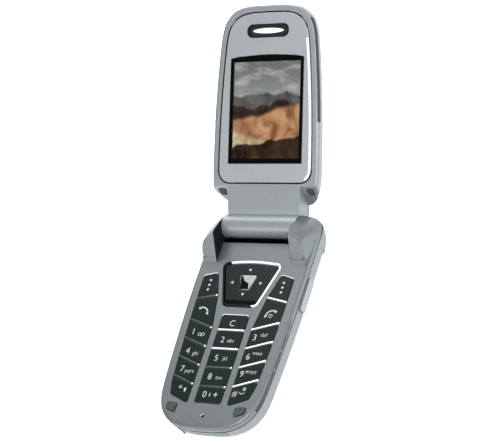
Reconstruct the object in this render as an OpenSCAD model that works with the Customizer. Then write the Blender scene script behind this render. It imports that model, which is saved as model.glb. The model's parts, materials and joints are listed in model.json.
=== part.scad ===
/* [Overall] */
// Width across the two hinge ears of the base
phone_w = 50.4; // [48:0.1:54]
// Hinge axis to the bottom end of the base
base_len = 90; // [88.5:0.5:94]
// Hinge axis to the tip of the lid
lid_len = 90.1; // [89.2:0.1:93]
// Angle between the two inner faces when the phone is open
open_angle = 150; // [120:1:155]

/* [Base casing] */
// Height of the keypad face above the flat back
base_t = 11; // [10.6:0.1:13]
// Height of the seam between the front and the rear case
seam_z = 8; // [7.9:0.05:8.6]
// Wall of the base casing
wall = 1.4; // [1.2:0.05:1.8]
// Thickness of the keypad plate
plate_t = 1.2; // [1:0.05:1.3]
// Rounding along the edge of the keypad face
face_round = 1.1; // [0.8:0.1:1.8]
// Rounding along the two back edges
back_round = 4.8; // [4:0.1:5.2]
// Rounding under the bottom end
end_round = 6; // [4.5:0.1:7]
// Distance from the hinge at which the sides begin to taper
taper_u = 20; // [16:1:30]
// Sideways taper, in mm per mm squared
taper_k = 0.00068; // [0.0004:0.00001:0.001]
// Length of the curve at the bottom end
cap_len = 20; // [17:0.5:23]
// Squareness of the bottom curve
cap_power = 2.9; // [2.6:0.05:3.1]
// Distance from the hinge to the top edge of the battery cover
cover_u = 30; // [28:0.5:33]
// Thickness of the battery cover
cover_t = 1.2; // [0.9:0.05:1.5]
// Height of the battery cover's side seam
cover_rise = 3.1; // [2.8:0.1:3.6]

/* [Hinge] */
// Height of the hinge axis above the keypad face
hinge_rise = 1.4; // [1.2:0.1:2]
// Radius of the barrel on the lid
barrel_r = 4.8; // [4.4:0.05:5]
// Radius of the trough in the base under the barrel
trough_r = 5.6; // [5.3:0.05:6]
// Distance from the centre to the inner face of an ear
ear_in = 17.5; // [17:0.1:18.5]
// Radius of the rounded ears
ear_r = 10.2; // [10:0.05:10.6]
// Centre of the round ears, in front of the hinge axis
ear_u = 4.9; // [4.5:0.1:5.3]
// Shoulder rounding on the outside of the ears
ear_shoulder = 3.4; // [2.8:0.1:4]
// Distance from the hinge axis to the crease on top of the ear
ramp_u = 7.8; // [7.3:0.1:8.3]
// Slope of the ramp in front of the crease
ramp_slope = 46.5; // [44:0.5:50]
// Sideways slope of the upper side of the ears
roof_slope = 35; // [32:0.5:37]
// Radius of the curve along the upper side of the ears
roof_r = 41; // [37:0.5:46]
// Crown of that curve, in front of the hinge axis
roof_u = 16; // [15:0.1:17]
// Crown of that curve, above the hinge axis
roof_h = 9.1; // [9:0.05:9.4]
// Lean of the outer sides of the ears
ear_lean = 10; // [7:0.5:12]
// Tilt of the curve of the outer sides, seen from the side
ear_tilt = 43.5; // [38:0.5:48]
// Radius of the curve of the outer sides
ear_side_r = 21; // [19:0.5:28]
// Middle of that curve, in front of the hinge axis
ear_side_u = 9.9; // [9:0.1:11]
// How far the base reaches behind the axis between the ears
mid_rear = 3.4; // [2.8:0.1:3.8]
// Radius of the hinge bush and of the hinge cartridge
pivot_r = 2.6; // [2.45:0.05:2.7]
// Radius of the cam pin
cam_r = 1.4; // [1.2:0.05:1.6]
// Depth of the pivots in each ear
pivot_depth = 2; // [1.8:0.05:2.2]
// Length of the pivots inside the barrel
pivot_reach = 12; // [10:0.5:13]

/* [Keypad] */
// How far the keys stand above the face
key_proud = 0.25; // [0.1:0.05:0.3]
// Key travel
key_travel = 0.35; // [0.25:0.05:0.35]
// Rim between the side of the phone and the outer keys
key_rim = 4.1; // [3.8:0.1:4.6]
// Inner edge of the two outer key columns
column_in = 9.2; // [9:0.1:9.6]
// Half-width of the middle key column
column_mid = 6; // [5.6:0.1:6.4]
// Rim between the number keys and the bottom end, at the sides
row_rim = 14; // [13.8:0.1:15]
// Outer end of the line under the call keys
row_out_u = 42.6; // [42:0.1:43]
// Inner end of the line under the call keys
row_in_u = 46.2; // [45.6:0.1:46.6]
// How much lower the rows lie in the middle column
row_mid_drop = 0.6; // [0.3:0.1:0.9]
// Height of the clear key
clear_h = 6.9; // [6:0.1:7.2]
// How much the zero key stops short of a full row
zero_short = 1.3; // [0.8:0.1:2]
// Width of the bright strips between the rows
divider_w = 0.6; // [0.4:0.05:0.7]
// How far the bright strips stand above the face
divider_proud = 0.35; // [0.2:0.05:0.4]
// Corner radius of the keys
key_corner = 0.9; // [0.5:0.1:1.2]
// Inner top corner of the soft keys, from the middle
soft_x = 15; // [14.6:0.1:15.3]
// Inner top corner of the soft keys, from the hinge
soft_in_u = 21; // [20.6:0.1:21.4]
// Outer top corner of the soft keys, from the hinge
soft_out_u = 22.6; // [22.2:0.1:23]
// Inner end of the line between the soft and the call keys, from the middle
call_x = 11.6; // [11.3:0.1:12]
// Inner end of the same line, from the hinge
call_in_u = 31.6; // [31.2:0.1:32]
// Outer end of the same line, from the hinge
call_out_u = 33.35; // [33:0.05:33.8]
// Top and bottom of the navigation frame
nav_top_u = 15.2; // [14.8:0.1:15.6]
// Bottom of the navigation frame
nav_bottom_u = 36.4; // [36:0.1:36.8]
// Half-width of the navigation frame at its top
nav_top_w = 14.5; // [14:0.1:15]
// Half-width of the navigation frame at its bottom
nav_bottom_w = 7.9; // [7.5:0.1:8.3]
// Width of the navigation frame's rim
nav_rim = 1; // [0.8:0.05:1.2]
// Corner radius of the navigation frame
nav_corner = 2.6; // [2:0.1:3]
// Half-width of the confirm key at its top
ok_w = 4; // [3.7:0.1:4.3]
// Half-width of the confirm key at its bottom
ok_end_w = 1.9; // [1.7:0.1:2.3]
// Top of the confirm key
ok_top_u = 22; // [21.7:0.1:22.4]
// Height of the confirm key
ok_h = 6.6; // [6.2:0.1:7]
// Length of the key on the right side
side_key_len = 14.5; // [12:0.1:15]
// Height of the side keys
side_key_h = 3.8; // [3:0.1:4]
// Distance from the hinge to the middle of the side keys
side_key_u = 27; // [26:0.1:27.5]
// Length of the key on the left side
volume_key_len = 16; // [14:0.1:16.5]
// How far the side keys stand out
side_key_proud = 0.5; // [0.3:0.05:0.7]

/* [Lid casing] */
// Thickness of the lid
lid_t = 8; // [7.8:0.1:8.6]
// Gap between the two faces when the phone is closed
lid_gap = 0.6; // [0.5:0.05:0.8]
// How far the panel stands above the rim of the lid
panel_step = 0.15; // [0:0.05:0.3]
// Thickness of the lid's front case at its edge
lid_seam = 3.25; // [3:0.05:3.6]
// Wall of the lid casing
lid_wall = 1.2; // [1:0.05:1.4]
// Sideways taper of the lid, in mm per mm squared
lid_taper_k = 0.00095; // [0.0007:0.00001:0.0012]
// Distance from the hinge at which the lid begins to taper
lid_taper_v = 25; // [22:1:30]
// Distance from the hinge at which the tip curve begins
tip_v = 70; // [66:1:73]
// Squareness of the tip curve
tip_power = 3.9; // [3.4:0.1:4.4]
// Rounding along the edge of the lid's front
lid_front_round = 1.1; // [0.6:0.1:1.6]
// Rounding along the edge of the lid's back
lid_back_round = 4.2; // [3.4:0.1:4.4]
// How far the rear case of the lid is set in from the front case
lid_set_in = 0.9; // [0.5:0.05:1.1]
// Distance from the hinge to the lower ends of the lobes
lobe_v = 7.6; // [7.2:0.1:8.2]
// Half-width of the neck between the lobes
neck_w = 17; // [16.4:0.1:17.1]
// Distance from the hinge to the fold in the neck
fold_v = 7.6; // [7:0.1:8.4]

/* [Lid panel] */
// Rim between the side of the lid and the panel
panel_rim = 3.3; // [3:0.1:3.6]
// Shadow gap round the panel
panel_gap = 0.35; // [0.2:0.05:0.5]
// Thickness of the panel
panel_t = 1.15; // [1:0.05:1.3]
// Distance from the hinge to the panel's lower edge
panel_v = 17.8; // [17.2:0.1:18.6]
// Corner radius of the panel's lower corners
panel_corner = 5; // [3:0.1:6]
// Half-width of the display window
window_w = 16.95; // [16.4:0.05:17.2]
// Lower edge of the display window
window_v = 25.9; // [25.4:0.1:26.4]
// Height of the display window
window_h = 42.6; // [41:0.1:43]
// Rise of the arched upper edge of the window
window_arch = 1.1; // [0.5:0.1:1.6]
// Half-width of the earpiece opening
ear_slot_w = 9.85; // [9:0.05:10.2]
// Height of the earpiece opening
ear_slot_h = 5.5; // [5:0.1:6]
// Distance from the hinge to the earpiece
ear_slot_v = 79.4; // [78.6:0.1:80]
// Width of the earpiece trim
ear_trim = 0.7; // [0.5:0.05:1]
// Radius of the camera bezel on the back
camera_r = 6.2; // [5.4:0.1:6.6]
// How far the camera bezel stands out
camera_proud = 1.2; // [0.8:0.1:1.6]
// Distance from the hinge to the camera
camera_v = 79.4; // [78:0.1:80.4]
// Half-width of the outer window
outer_w = 12; // [10:0.1:13]
// Height of the outer window
outer_h = 17; // [15:0.1:18]
// Distance from the hinge to the middle of the outer window
outer_v = 58; // [56:0.1:60]

/* [Internals] */
// Thickness of the main board
board_t = 0.9; // [0.8:0.05:1]
// Width of the battery
battery_w = 36; // [34:0.5:37]
// Room between the battery and the bottom end
battery_rim = 11; // [10:0.5:15]
// Thickness of the battery
battery_t = 3.35; // [3:0.05:3.4]
// Thickness of the display module
display_t = 3.7; // [3.4:0.05:3.8]
// Thickness of the lid board
lid_board_t = 0.8; // [0.6:0.05:0.9]
// Radius of the case screws
screw_r = 0.7; // [0.6:0.05:0.8]
// Radius of the screw heads
screw_head_r = 1.3; // [1.2:0.05:1.5]
// Width of the connector behind the flap
connector_w = 14; // [12:0.1:16]
// Half-width of the connector flap
flap_w = 10.6; // [10:0.1:11]

/* [Fits] */
// Radial running clearance in the hinge
run_fit = 0.05; // [0.03:0.01:0.08]
// Clearance around keys and other moving pieces
key_fit = 0.15; // [0.1:0.01:0.2]
// Clearance between fixed pieces
seat_fit = 0.05; // [0.03:0.01:0.08]
// Clearance between the lobes of the lid and the ears
lobe_fit = 0.6; // [0.5:0.05:0.7]

/* [Hidden] */

$fn = 64;
eps = 0.01;
// Longer than any part, for shapes that only cut
far = 40;

hinge_y = base_len / 2;
hinge_z = base_t + hinge_rise;
cap_u = base_len - cap_len;
ramp_z = ear_r + sqrt(pow(ear_r, 2) - pow(ramp_u - ear_u, 2)) - hinge_z;
ramp_foot = ramp_u + (ramp_z + hinge_rise) / tan(ramp_slope);

// Lid levels, measured along the outward normal of its inner face
lid_face = hinge_rise - lid_gap;
lid_rim = lid_face - panel_step;
lid_back = lid_face - lid_t;
lid_split = lid_rim - lid_seam;
panel_floor = lid_face - panel_t;
pocket_floor = panel_floor - seat_fit;
tray_t = 0.95;
tray_floor = pocket_floor - tray_t;
lid_inner_back = lid_back + lid_wall;
lid_back_wall = lid_set_in + lid_wall + 0.8;
lid_board_top = panel_floor - 2 * seat_fit - display_t;
lid_board_z = lid_board_top - lid_board_t;

// Neck and lobes of the lid
lid_side_in = 0.2;
barrel_half = ear_in - 0.3;
lobe_end = lid_taper_v - 3;
lobe_power = 2.5;
neck_wall = 1.2;
neck_back = lid_inner_back + seat_fit;
tail_t = 0.3;
tail_z = lid_board_z + 0.25;
tail_v = 5;
bumper_h = 0.35;

// Levels inside the base
plate_z = base_t - plate_t;
board_top = seam_z - 0.1;
board_z = board_top - board_t;
board_u = ear_u + 4.3;
switch_l = 3;
switch_half = 2;
dome_z = board_top + seat_fit;
dome_t = 0.12;
dome_h = 0.1;
dome_r = 1.9;
mat_t = 0.6;
mat_z = dome_z + dome_t + dome_h + 0.33;
bumper_z = base_t - 0.5;
end_roll = 1.6;
plunger_r = 1;
plunger_z = dome_z + dome_t + dome_h + key_travel + 0.05;
key_z = mat_z + mat_t + key_travel + 0.05;
key_top = base_t + key_proud;
nav_u = (nav_top_u + nav_bottom_u) / 2 + 0.2;
nav_reach = 7.6;
nav_air = 0.15;
nav_tilt = 0.9;
nav_top = base_t + 0.05;
nav_drop = (nav_reach + plunger_r) * sin(nav_tilt);
nav_arch_r = 70;
clear_wider = 0.2;
corner_cut = 0.9;

// Battery bay and the tray above it
battery_z = cover_t + 0.15;
battery_fit = 0.2;
bay_roof = battery_z + battery_t + 0.1;
bay_u = 37;
battery_l = base_len - battery_rim - bay_u;
tray_z = bay_roof + 0.6;
contact_w = 1.4;
contact_step = 2.6;
contact_l = 3;
contact_u = bay_u + 3;

// Case screws, each at [x, distance from the hinge]
screws = [[phone_w / 2 - 3.7, 13.6], [phone_w / 4 + 0.2, base_len - 8.4]];
screw_seat = 2.2;
screw_head_h = 0.8;
screw_boss = 0.6;
screw_bite = 3;

// Sound, radio and motor
mic_u = base_len - 5.5;
mic_r = 2;
mic_hole_r = 0.5;
speaker_u = 17;
speaker_r = 6.4;
speaker_h = 2.6;
slot_step = 3.4;
motor_r = 2;
motor_x = 11.5;
antenna_w = 31.2;

// Bottom end: the connector, its flap and the dark inlay above them
connector_z = tray_z + 0.25;
connector_wall = 0.4;
connector_u = base_len - 4;
connector_l = 5.4;
flap_z = 4.2;
flap_t = 1.6;
flap_fit = 0.15;
flap_pin_r = 0.45;
flap_pin_y = yu(end_u(flap_w));
flap_pin_end = 0.5;
trim_d = 0.5;
trim_start_u = 40;
trim_u = base_len - 10;
camera_lens_r = 3.2;

// Side keys
side_key_z = seam_z - 0.6 - side_key_h / 2;
side_key_x = phone_w / 2 - wall - 0.1;

// Flexible circuit
flex_r = 1.75;
flex_t = 0.4;
flex_in = 0.4;
bush_t = 0.65;

// Row lines of the keypad, counted from the hinge
row_pitch = (base_len - row_rim - row_out_u) / 4;
clear_top = row_in_u + row_mid_drop - clear_h;
mid_end = row_in_u + row_mid_drop + 4 * row_pitch - zero_short;
// Half of a divider with the clearance of the key beside it
key_step = divider_w / 2 + key_fit;

// Number keys: name, column (-1 left, 0 middle, 1 right) and row
KEYS = [
    ["key_1", -1, 0], ["key_2", 0, 0], ["key_3", 1, 0],
    ["key_4", -1, 1], ["key_5", 0, 1], ["key_6", 1, 1],
    ["key_7", -1, 2], ["key_8", 0, 2], ["key_9", 1, 2],
    ["key_star", -1, 3], ["key_0", 0, 3], ["key_hash", 1, 3]
];
// Soft and call keys: name, side and kind (0 soft, 1 call)
CALL_KEYS = [
    ["soft_key_left", -1, 0], ["soft_key_right", 1, 0], ["send_key", -1, 1], ["end_key", 1, 1]
];

function yu(u) = hinge_y - u;
function flip(pts) = [for (i = [len(pts) - 1:-1:0]) [-pts[i][0], pts[i][1]]];
function reversed(pts) = [for (i = [len(pts) - 1:-1:0]) pts[i]];
// Distance from the hinge of row line i at the inner (0) or outer (1) end
function row_u(i, outer) = (outer ? row_out_u : row_in_u) + row_pitch * i;
function both(pts) = concat(pts, flip(pts));
function mirrored(pts, side) = side > 0 ? pts : flip(pts);

// Polygon with its corners turned into arcs
function rounded(pts, r, n = 5) = [
    for (i = [0:len(pts) - 1])
        let (
            p = pts[i],
            a = pts[(i + len(pts) - 1) % len(pts)] - p,
            b = pts[(i + 1) % len(pts)] - p,
            ua = a / norm(a),
            ub = b / norm(b),
            turn = acos(max(-1, min(1, ua * ub))),
            rr = min(r, 0.48 * min(norm(a), norm(b)) * tan(turn / 2)),
            c = p + (ua + ub) / norm(ua + ub) * rr / sin(turn / 2),
            s = p + ua * rr / tan(turn / 2) - c,
            e = p + ub * rr / tan(turn / 2) - c,
            a0 = atan2(s[1], s[0]),
            d = atan2(e[1], e[0]) - a0,
            sweep = d > 180 ? d - 360 : d < -180 ? d + 360 : d
        )
        for (k = [0:n]) c + rr * [cos(a0 + sweep * k / n), sin(a0 + sweep * k / n)]
];

// Inset of a rounded edge of radius r at a depth d below the tangent plane
function round_inset(r, d) = d >= r ? 0 : r - sqrt(max(0, r * r - pow(r - d, 2)));

// Heights of the rings that draw a rounded edge, from its tangent plane inwards
function round_steps(r, n = 5) = [for (i = [0:n]) r * (1 - cos(90 * i / n))];

// Half-width of the base at a distance u from the hinge
function base_half(u) = phone_w / 2 - taper_k * pow(max(0, u - taper_u), 2);

// Outer edge of the outer keys at a distance u from the hinge
function key_x(u) = base_half(u) - key_rim;

// Outline of the base from u0 round the bottom end, inset at the sides and at the end
function base_outline(u0, side_in, end_in) = let (
        reach = base_len - end_in - cap_u,
        sides = [for (i = [0:8]) let (u = u0 + (cap_u - u0) * i / 8) [base_half(u) - side_in, yu(u)]],
        cap = [for (a = [7.5:7.5:82.5]) let (u = cap_u + reach * pow(sin(a), 2 / cap_power))
            [(base_half(u) - side_in) * pow(cos(a), 2 / cap_power), yu(u)]]
    ) concat(sides, cap, [[0, yu(base_len - end_in)]], flip(cap), flip(sides));

// Distance from the hinge to the bottom end at a distance x from the middle
function end_u(x) = cap_u + cap_len * pow(1 - pow(x / base_half(base_len), cap_power), 1 / cap_power);

function ring(pts, z) = [for (p = pts) [p[0], p[1], z]];

// Half-width of the lid at a distance v from the hinge
function lobe_half(v) = neck_w + (phone_w / 2 - lid_side_in - neck_w)
    * pow(max(0, 1 - pow(min(1, max(0, lobe_end - v) / (lobe_end - lobe_v)), lobe_power)), 1 / lobe_power);
function lid_half(v) = v < lobe_end ? lobe_half(v)
    : phone_w / 2 - lid_side_in - lid_taper_k * pow(max(0, v - lid_taper_v), 2);

// Outline of the lid in its own plane, from the lower end v0 round the tip
function lid_outline(v0, side_in, tip_in) = let (
        reach = lid_len - tip_in - tip_v,
        sides = concat(
            [for (a = [0:15:75]) let (v = lobe_end - (lobe_end - v0) * cos(a))
                [max(lid_half(v) - side_in, 1), v]],
            [for (i = [0:6]) let (v = lobe_end + (tip_v - lobe_end) * i / 6)
                [lid_half(v) - side_in, v]]),
        cap = [for (a = [7.5:7.5:82.5]) let (v = tip_v + reach * pow(sin(a), 2 / tip_power))
            [(lid_half(v) - side_in) * pow(cos(a), 2 / tip_power), v]]
    ) concat(sides, cap, [[0, lid_len - tip_in]], flip(cap), flip(sides));

// Panel outline: the lid outline set in, with round lower corners
function panel_outline(gap) = let (
        full = lid_outline(lobe_v, panel_rim + gap, panel_rim + gap),
        upper = [for (p = full) if (p[1] > panel_v + panel_corner + 3) p],
        w = lid_half(panel_v + panel_corner) - panel_rim - gap,
        v = panel_v + gap,
        r = panel_corner
    ) concat(
        [for (a = [0:15:90]) [-w + r - r * sin(a), v + r - r * cos(a)]],
        [for (i = [len(upper) - 1:-1:0]) upper[i]],
        [for (a = [0:15:90]) [w - r + r * cos(a), v + r - r * sin(a)]]);

// Solid through a stack of rings of equal count, lowest ring first
module loft(rings) {
    n = len(rings[0]);
    m = len(rings);
    points = [for (r = rings) each r];
    walls = [for (j = [0:m - 2], i = [0:n - 1]) let (k = (i + 1) % n) each
        [[j * n + i, j * n + k, (j + 1) * n + k], [j * n + i, (j + 1) * n + k, (j + 1) * n + i]]];
    polyhedron(points, concat(
        [[for (i = [n - 1:-1:0]) i]],
        walls,
        [[for (i = [0:n - 1]) (m - 1) * n + i]]), convexity = 6);
}

// Extrude an outline between two heights
module slab(pts, z0, z1) {
    translate([0, 0, z0]) linear_extrude(z1 - z0) polygon(pts);
}

module box(x0, x1, y0, y1, z0, z1) {
    translate([x0, y0, z0]) cube([x1 - x0, y1 - y0, z1 - z0]);
}

// Cylinder along X between two places
module rod(r, x0, x1) {
    translate([x0, 0, 0]) rotate([0, 90, 0]) cylinder(r = r, h = x1 - x0);
}

// Frames: the hinge axis and the open lid
module at_hinge() {
    translate([0, hinge_y, hinge_z]) children();
}
module at_lid() {
    at_hinge() rotate([180 - open_angle, 0, 0]) children();
}
module on_both_sides() {
    children();
    mirror([1, 0, 0]) children();
}

// Everything below the ramp of the right ear, raised by gap; the origin is the hinge axis
module below_ramp(gap, deep = far) {
    translate([ear_in, -ramp_u, ramp_z]) rotate([ramp_slope, 0, 0])
        box(-far, far, -far, far, gap - deep, gap);
}

// Everything below the sloping upper side of the right ear
module below_roof() {
    translate([ear_in, -roof_u, roof_h]) rotate([0, roof_slope, 0]) translate([-far, 0, -roof_r])
        rotate([0, 90, 0]) cylinder(r = roof_r, h = 2 * far, $fn = 360);
}

// Everything within the leaning outer side of the right ear
module within_side() {
    translate([phone_w / 2, -ear_side_u, seam_z - hinge_z]) rotate([ear_tilt, 0, 0]) rotate([0, -ear_lean, 0])
        translate([-ear_side_r, 0, -far]) cylinder(r = ear_side_r, h = 2 * far, $fn = 180);
}

// Rounded disc of the right ear; the origin is the hinge axis
module ear_disc() {
    r = ear_r;
    s = ear_shoulder;
    out = phone_w / 2;
    translate([0, -ear_u, ear_r - hinge_z]) rotate([0, 90, 0]) rotate_extrude($fn = 96)
        polygon(concat([[0, ear_in], [r, ear_in]],
            [for (a = [0:15:90]) [r - s + s * cos(a), out - s + s * sin(a)]], [[0, out]]));
}

// ---------------------------------------------------------------- base casing

// Lower part of the base casing between two heights
module base_lower(z0, z1, u0, inset) {
    levels = [for (d = round_steps(end_round, 6)) if (d > z0 + 0.05 && d < z1 - 0.05) d];
    loft([for (z = concat([z0], levels, [z1]))
        ring(base_outline(u0, inset + round_inset(back_round, z), inset + round_inset(end_round, z)), z)]);
}

// Upper part of the base casing, from the seam to the face
module base_upper(u0) {
    rounds = round_steps(face_round, 4);
    loft([for (z = concat([seam_z], [for (i = [4:-1:0]) base_t - rounds[i]]))
        let (inset = round_inset(face_round, base_t - z))
        ring(base_outline(u0, inset, end_roll * inset), z)]);
}

// Wall of the base round its bottom end, straight up and down
module base_wall(u0, thickness) {
    difference() {
        slab(base_outline(u0, 0, 0), flap_z - 1, base_t);
        slab(base_outline(u0 - 1, thickness, thickness), flap_z - 2, base_t + 1);
    }
}

// Space inside the base between two heights
module base_cavity(z0, z1) {
    slab(base_outline(ear_u + 4, wall, wall + 0.8), z0, z1);
}

// Cylinders at the four screws
module at_screws(r, z0, z1) {
    for (s = screws, k = [-1, 1])
        translate([k * s[0], yu(s[1]), z0]) cylinder(r = r, h = z1 - z0);
}

// Opening for one outer key column, grown by gap
module key_channel(gap) {
    top = [[soft_x - gap, yu(soft_in_u - gap)], [key_x(soft_out_u) + gap, yu(soft_out_u - gap)]];
    outer = [for (u = [30:8:70]) [key_x(u) + gap, yu(u)]];
    low = [[key_x(row_u(4, 1)) + gap - corner_cut, yu(row_u(4, 1) + gap)],
        [column_in - gap, yu(row_u(4, 0) + gap)]];
    inner = [[column_in - gap, yu(row_in_u)], [call_x - gap, yu(call_in_u)]];
    slab(rounded(concat(top, outer, low, inner), key_corner), plate_z - 1, base_t + 1);
}

// Opening for the middle key column
module mid_channel(gap) {
    slab(rounded(both([[column_mid + clear_wider + gap, yu(clear_top - gap)],
        [column_mid + gap, yu(mid_end + gap)]]), key_corner), plate_z - 1, base_t + 1);
}

// Outline of the navigation frame, set in by gap, and the same with its arched top
function nav_slant() = (nav_top_w - nav_bottom_w) / (nav_bottom_u - nav_top_u);
function nav_outline(gap) = rounded(
    both([[nav_top_w - gap * (1 + nav_slant()), yu(nav_top_u + 0.7 + gap)],
        [nav_bottom_w - gap * (1 - nav_slant()), yu(nav_bottom_u - gap)]]),
    max(0.6, nav_corner - gap), 6);
module nav_shape(gap, z0, z1) {
    side = nav_top_w - gap;
    slab(nav_outline(gap), z0, z1);
    intersection() {
        slab(rounded(both([[side, yu(nav_top_u - 2)], [side - 1.4, yu(nav_top_u + 5)]]), 0.2), z0, z1);
        translate([0, yu(nav_top_u + nav_arch_r + gap), z0]) cylinder(r = nav_arch_r, h = z1 - z0, $fn = 360);
        box(-nav_top_w + nav_corner, nav_top_w - nav_corner, yu(nav_top_u + 6), yu(nav_top_u - 1), z0, z1);
    }
}

module front_case() color("#8d9295") {
    difference() {
        union() {
            difference() {
                base_upper(ear_u);
                base_cavity(seam_z - 1, plate_z);
            }
            at_hinge() on_both_sides() ear_top();
            at_screws(screw_head_r + 0.4, tray_z + 0.2, plate_z + eps);
        }
        at_hinge() rod(trough_r, -ear_in, ear_in);
        on_both_sides() key_channel(key_fit);
        mid_channel(key_fit);
        nav_shape(-seat_fit, plate_z - 1, base_t + 1);
        at_hinge() on_both_sides() rod(pivot_r + seat_fit, ear_in - 1, ear_in + pivot_depth);
        flex_way(hinge_y - 2, seam_z - 1, hinge_z);
        on_both_sides() slab(bumper_outline(seat_fit), bumper_z - seat_fit, base_t + 1);
        on_both_sides() trim_strip(seat_fit);
        translate([0, yu(mic_u), plate_z - 1]) cylinder(r = mic_hole_r, h = plate_t + 2);
        translate([0, yu(mic_u), seam_z - 1]) cylinder(r = mic_r + seat_fit, h = plate_z - seam_z + 1 + eps);
        at_screws(screw_r + seat_fit, tray_z, tray_z + screw_bite);
        flap_pin(flap_pin_r + run_fit, seam_z - 1, seam_z + flap_pin_end + flap_fit);
    }
}

// Upper half of the right ear, its ramp running out on the face
module ear_top() {
    intersection() {
        union() {
            ear_disc();
            box(ear_in, phone_w / 2, -ramp_foot, -ear_u, plate_z - hinge_z, eps);
        }
        below_ramp(0);
        below_roof();
        within_side();
        box(ear_in, far, -far, far, seam_z - hinge_z, far);
    }
}

// Way of the flexible circuit through the left ear, from y0 to just behind the axis
module flex_way(y0, z0, z1) {
    box(-ear_in - pivot_depth, -ear_in - flex_in, y0, hinge_y + 2, z0, z1);
}

// Rubber pads at the two lower corners of the face
function bumper_outline(gap) = rounded([
    [13.4 - gap, yu(base_len - 9.9 - gap)],
    [18.2 + gap, yu(base_len - 10.3 - gap)],
    [17.6 + gap, yu(base_len - 7.6 + gap)],
    [13.7 - gap, yu(base_len - 6.2 + gap)]
], 0.8);
module base_bumpers() color("#4f5b5a") {
    on_both_sides() slab(bumper_outline(0), bumper_z, base_t + 0.3);
}

// Dark inlay along the upper edge of the side, widening to the bottom corner
module trim_strip(gap) {
    top = base_t - face_round + 0.05 + gap;
    intersection() {
        base_wall(trim_start_u - 6, trim_d + gap);
        rotate([90, 0, 90]) linear_extrude(phone_w)
            polygon([[yu(trim_start_u), top], [yu(trim_start_u - gap), top - 0.15 - 2 * gap],
                [yu(trim_start_u + 8), top - 0.95 - 2 * gap], [yu(trim_u + gap), seam_z + 0.45 - gap],
                [yu(trim_u + gap), top]]);
    }
}
module side_trim() color("#3a4142") {
    on_both_sides() trim_strip(0);
}

module rear_case() color("#7d8285") {
    difference() {
        union() {
            difference() {
                rear_skin();
                base_cavity(tray_z, seam_z + 1);
                box(-ear_in + 1, ear_in - 1, yu(cover_u - 2), yu(ear_u + 4.4), wall, seam_z + 1);
                battery_bay();
            }
            at_hinge() on_both_sides() ear_bottom();
            mid_block();
            at_screws(screw_head_r + screw_boss, screw_seat, tray_z + 0.15);
        }
        at_hinge() rod(trough_r, -ear_in, ear_in);
        flex_way(yu(ear_u + 5), seam_z - 2, seam_z + 1);
        connector_way();
        flap_recess();
        flap_pin(flap_pin_r + run_fit, flap_z - flap_pin_end - flap_fit, seam_z + 1);
        side_key_way(1, side_key_len);
        side_key_way(-1, volume_key_len);
        speaker_slots();
        contact_window();
        at_screws(screw_r + 0.1, 1, seam_z + 1);
        at_screws(screw_head_r + 0.1, -1, screw_seat + screw_head_h);
    }
}

// Outer shape of the rear case, stepped in where the battery cover lies over it
module rear_skin() {
    base_lower(cover_rise + flap_fit, seam_z, ear_u, 0);
    base_lower(battery_z, cover_rise + flap_fit + 0.05, ear_u, battery_z);
    difference() {
        base_lower(0, seam_z, ear_u, 0);
        box(-phone_w, phone_w, -base_len, yu(cover_u - flap_fit), -1, cover_rise + flap_fit);
    }
}

// Lower half of the right ear, hollow towards the seam
module ear_bottom() {
    difference() {
        intersection() {
            ear_disc();
            box(ear_in, far, -ear_u, far, -hinge_z - 1, seam_z - hinge_z);
        }
        box(ear_in + wall, phone_w / 2 - wall - 1.7, -ear_u - 1, 1.6, seam_z - hinge_z - 4, 5);
    }
}

// Base between the ears, behind the front edge of the trough
module mid_block() {
    r = back_round + 0.5;
    rotate([90, 0, 90]) translate([0, 0, -ear_in - eps]) linear_extrude(2 * (ear_in + eps))
        polygon(concat([[yu(ear_u + eps), 0]],
            [for (a = [0:15:90]) [yu(-mid_rear) - r + r * sin(a), r - r * cos(a)]],
            [[yu(-mid_rear), seam_z - 0.8], [yu(-mid_rear) - 0.8, seam_z], [yu(ear_u + eps), seam_z]]));
}

// Battery bay, open at the back
module battery_bay() {
    half = battery_w / 2 + battery_fit;
    box(-half, half, yu(bay_u + battery_l + battery_fit), yu(bay_u - battery_fit), -1, bay_roof);
}

// Slots over the loudspeaker in the back
module speaker_slots() {
    for (i = [-2:2])
        slab(rounded([
            [slot_step * i - 0.5, yu(speaker_u + 3)], [slot_step * i + 0.5, yu(speaker_u + 3)],
            [slot_step * i + 0.5, yu(speaker_u - 3)], [slot_step * i - 0.5, yu(speaker_u - 3)]
        ], 0.45), -1, wall + 1);
}

module battery_cover() color("#8a8f92") {
    difference() {
        base_lower(0, cover_rise, cover_u, 0);
        difference() {
            base_lower(cover_t, cover_rise + 1, cover_u - 3, cover_t);
            box(-phone_w, phone_w, yu(cover_u - 3), yu(cover_u - 4), -1, 9);
        }
    }
}

module battery_cell() color("#3c4144") {
    box(-battery_w / 2, battery_w / 2, yu(bay_u + battery_l), yu(bay_u), battery_z, battery_z + battery_t);
}

// Battery contacts, standing in a window in the roof of the bay
module contact_window() {
    half = contact_step + contact_w / 2 + 0.1;
    box(-half, half, yu(contact_u + contact_l + 0.1), yu(contact_u - 0.1), bay_roof - 1, tray_z + 1);
}
module battery_contacts() color("#c9a54a") {
    for (k = [-1, 0, 1])
        translate([k * contact_step, 0, 0])
            box(-contact_w / 2, contact_w / 2, yu(contact_u + contact_l), yu(contact_u),
                bay_roof - 0.05, board_z - seat_fit);
}

module loudspeaker() color("#2b2e30") translate([0, yu(speaker_u), wall + seat_fit]) {
    cylinder(r = speaker_r, h = speaker_h);
    cylinder(r = speaker_r - 1.4, h = speaker_h + 0.5);
}

// Antenna frame round the loudspeaker, under the main board
module antenna() color("#b98c4e") {
    band = 3;
    half = antenna_w / 2;
    top = yu(ear_u + 5);
    low = yu(speaker_u + 9);
    difference() {
        box(-half, half, low, top, board_z - 1.5, board_z - seat_fit);
        box(-half + band, half - band, low + band, top - band + 0.4, board_z - 3, board_z - 0.5);
    }
}

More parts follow.
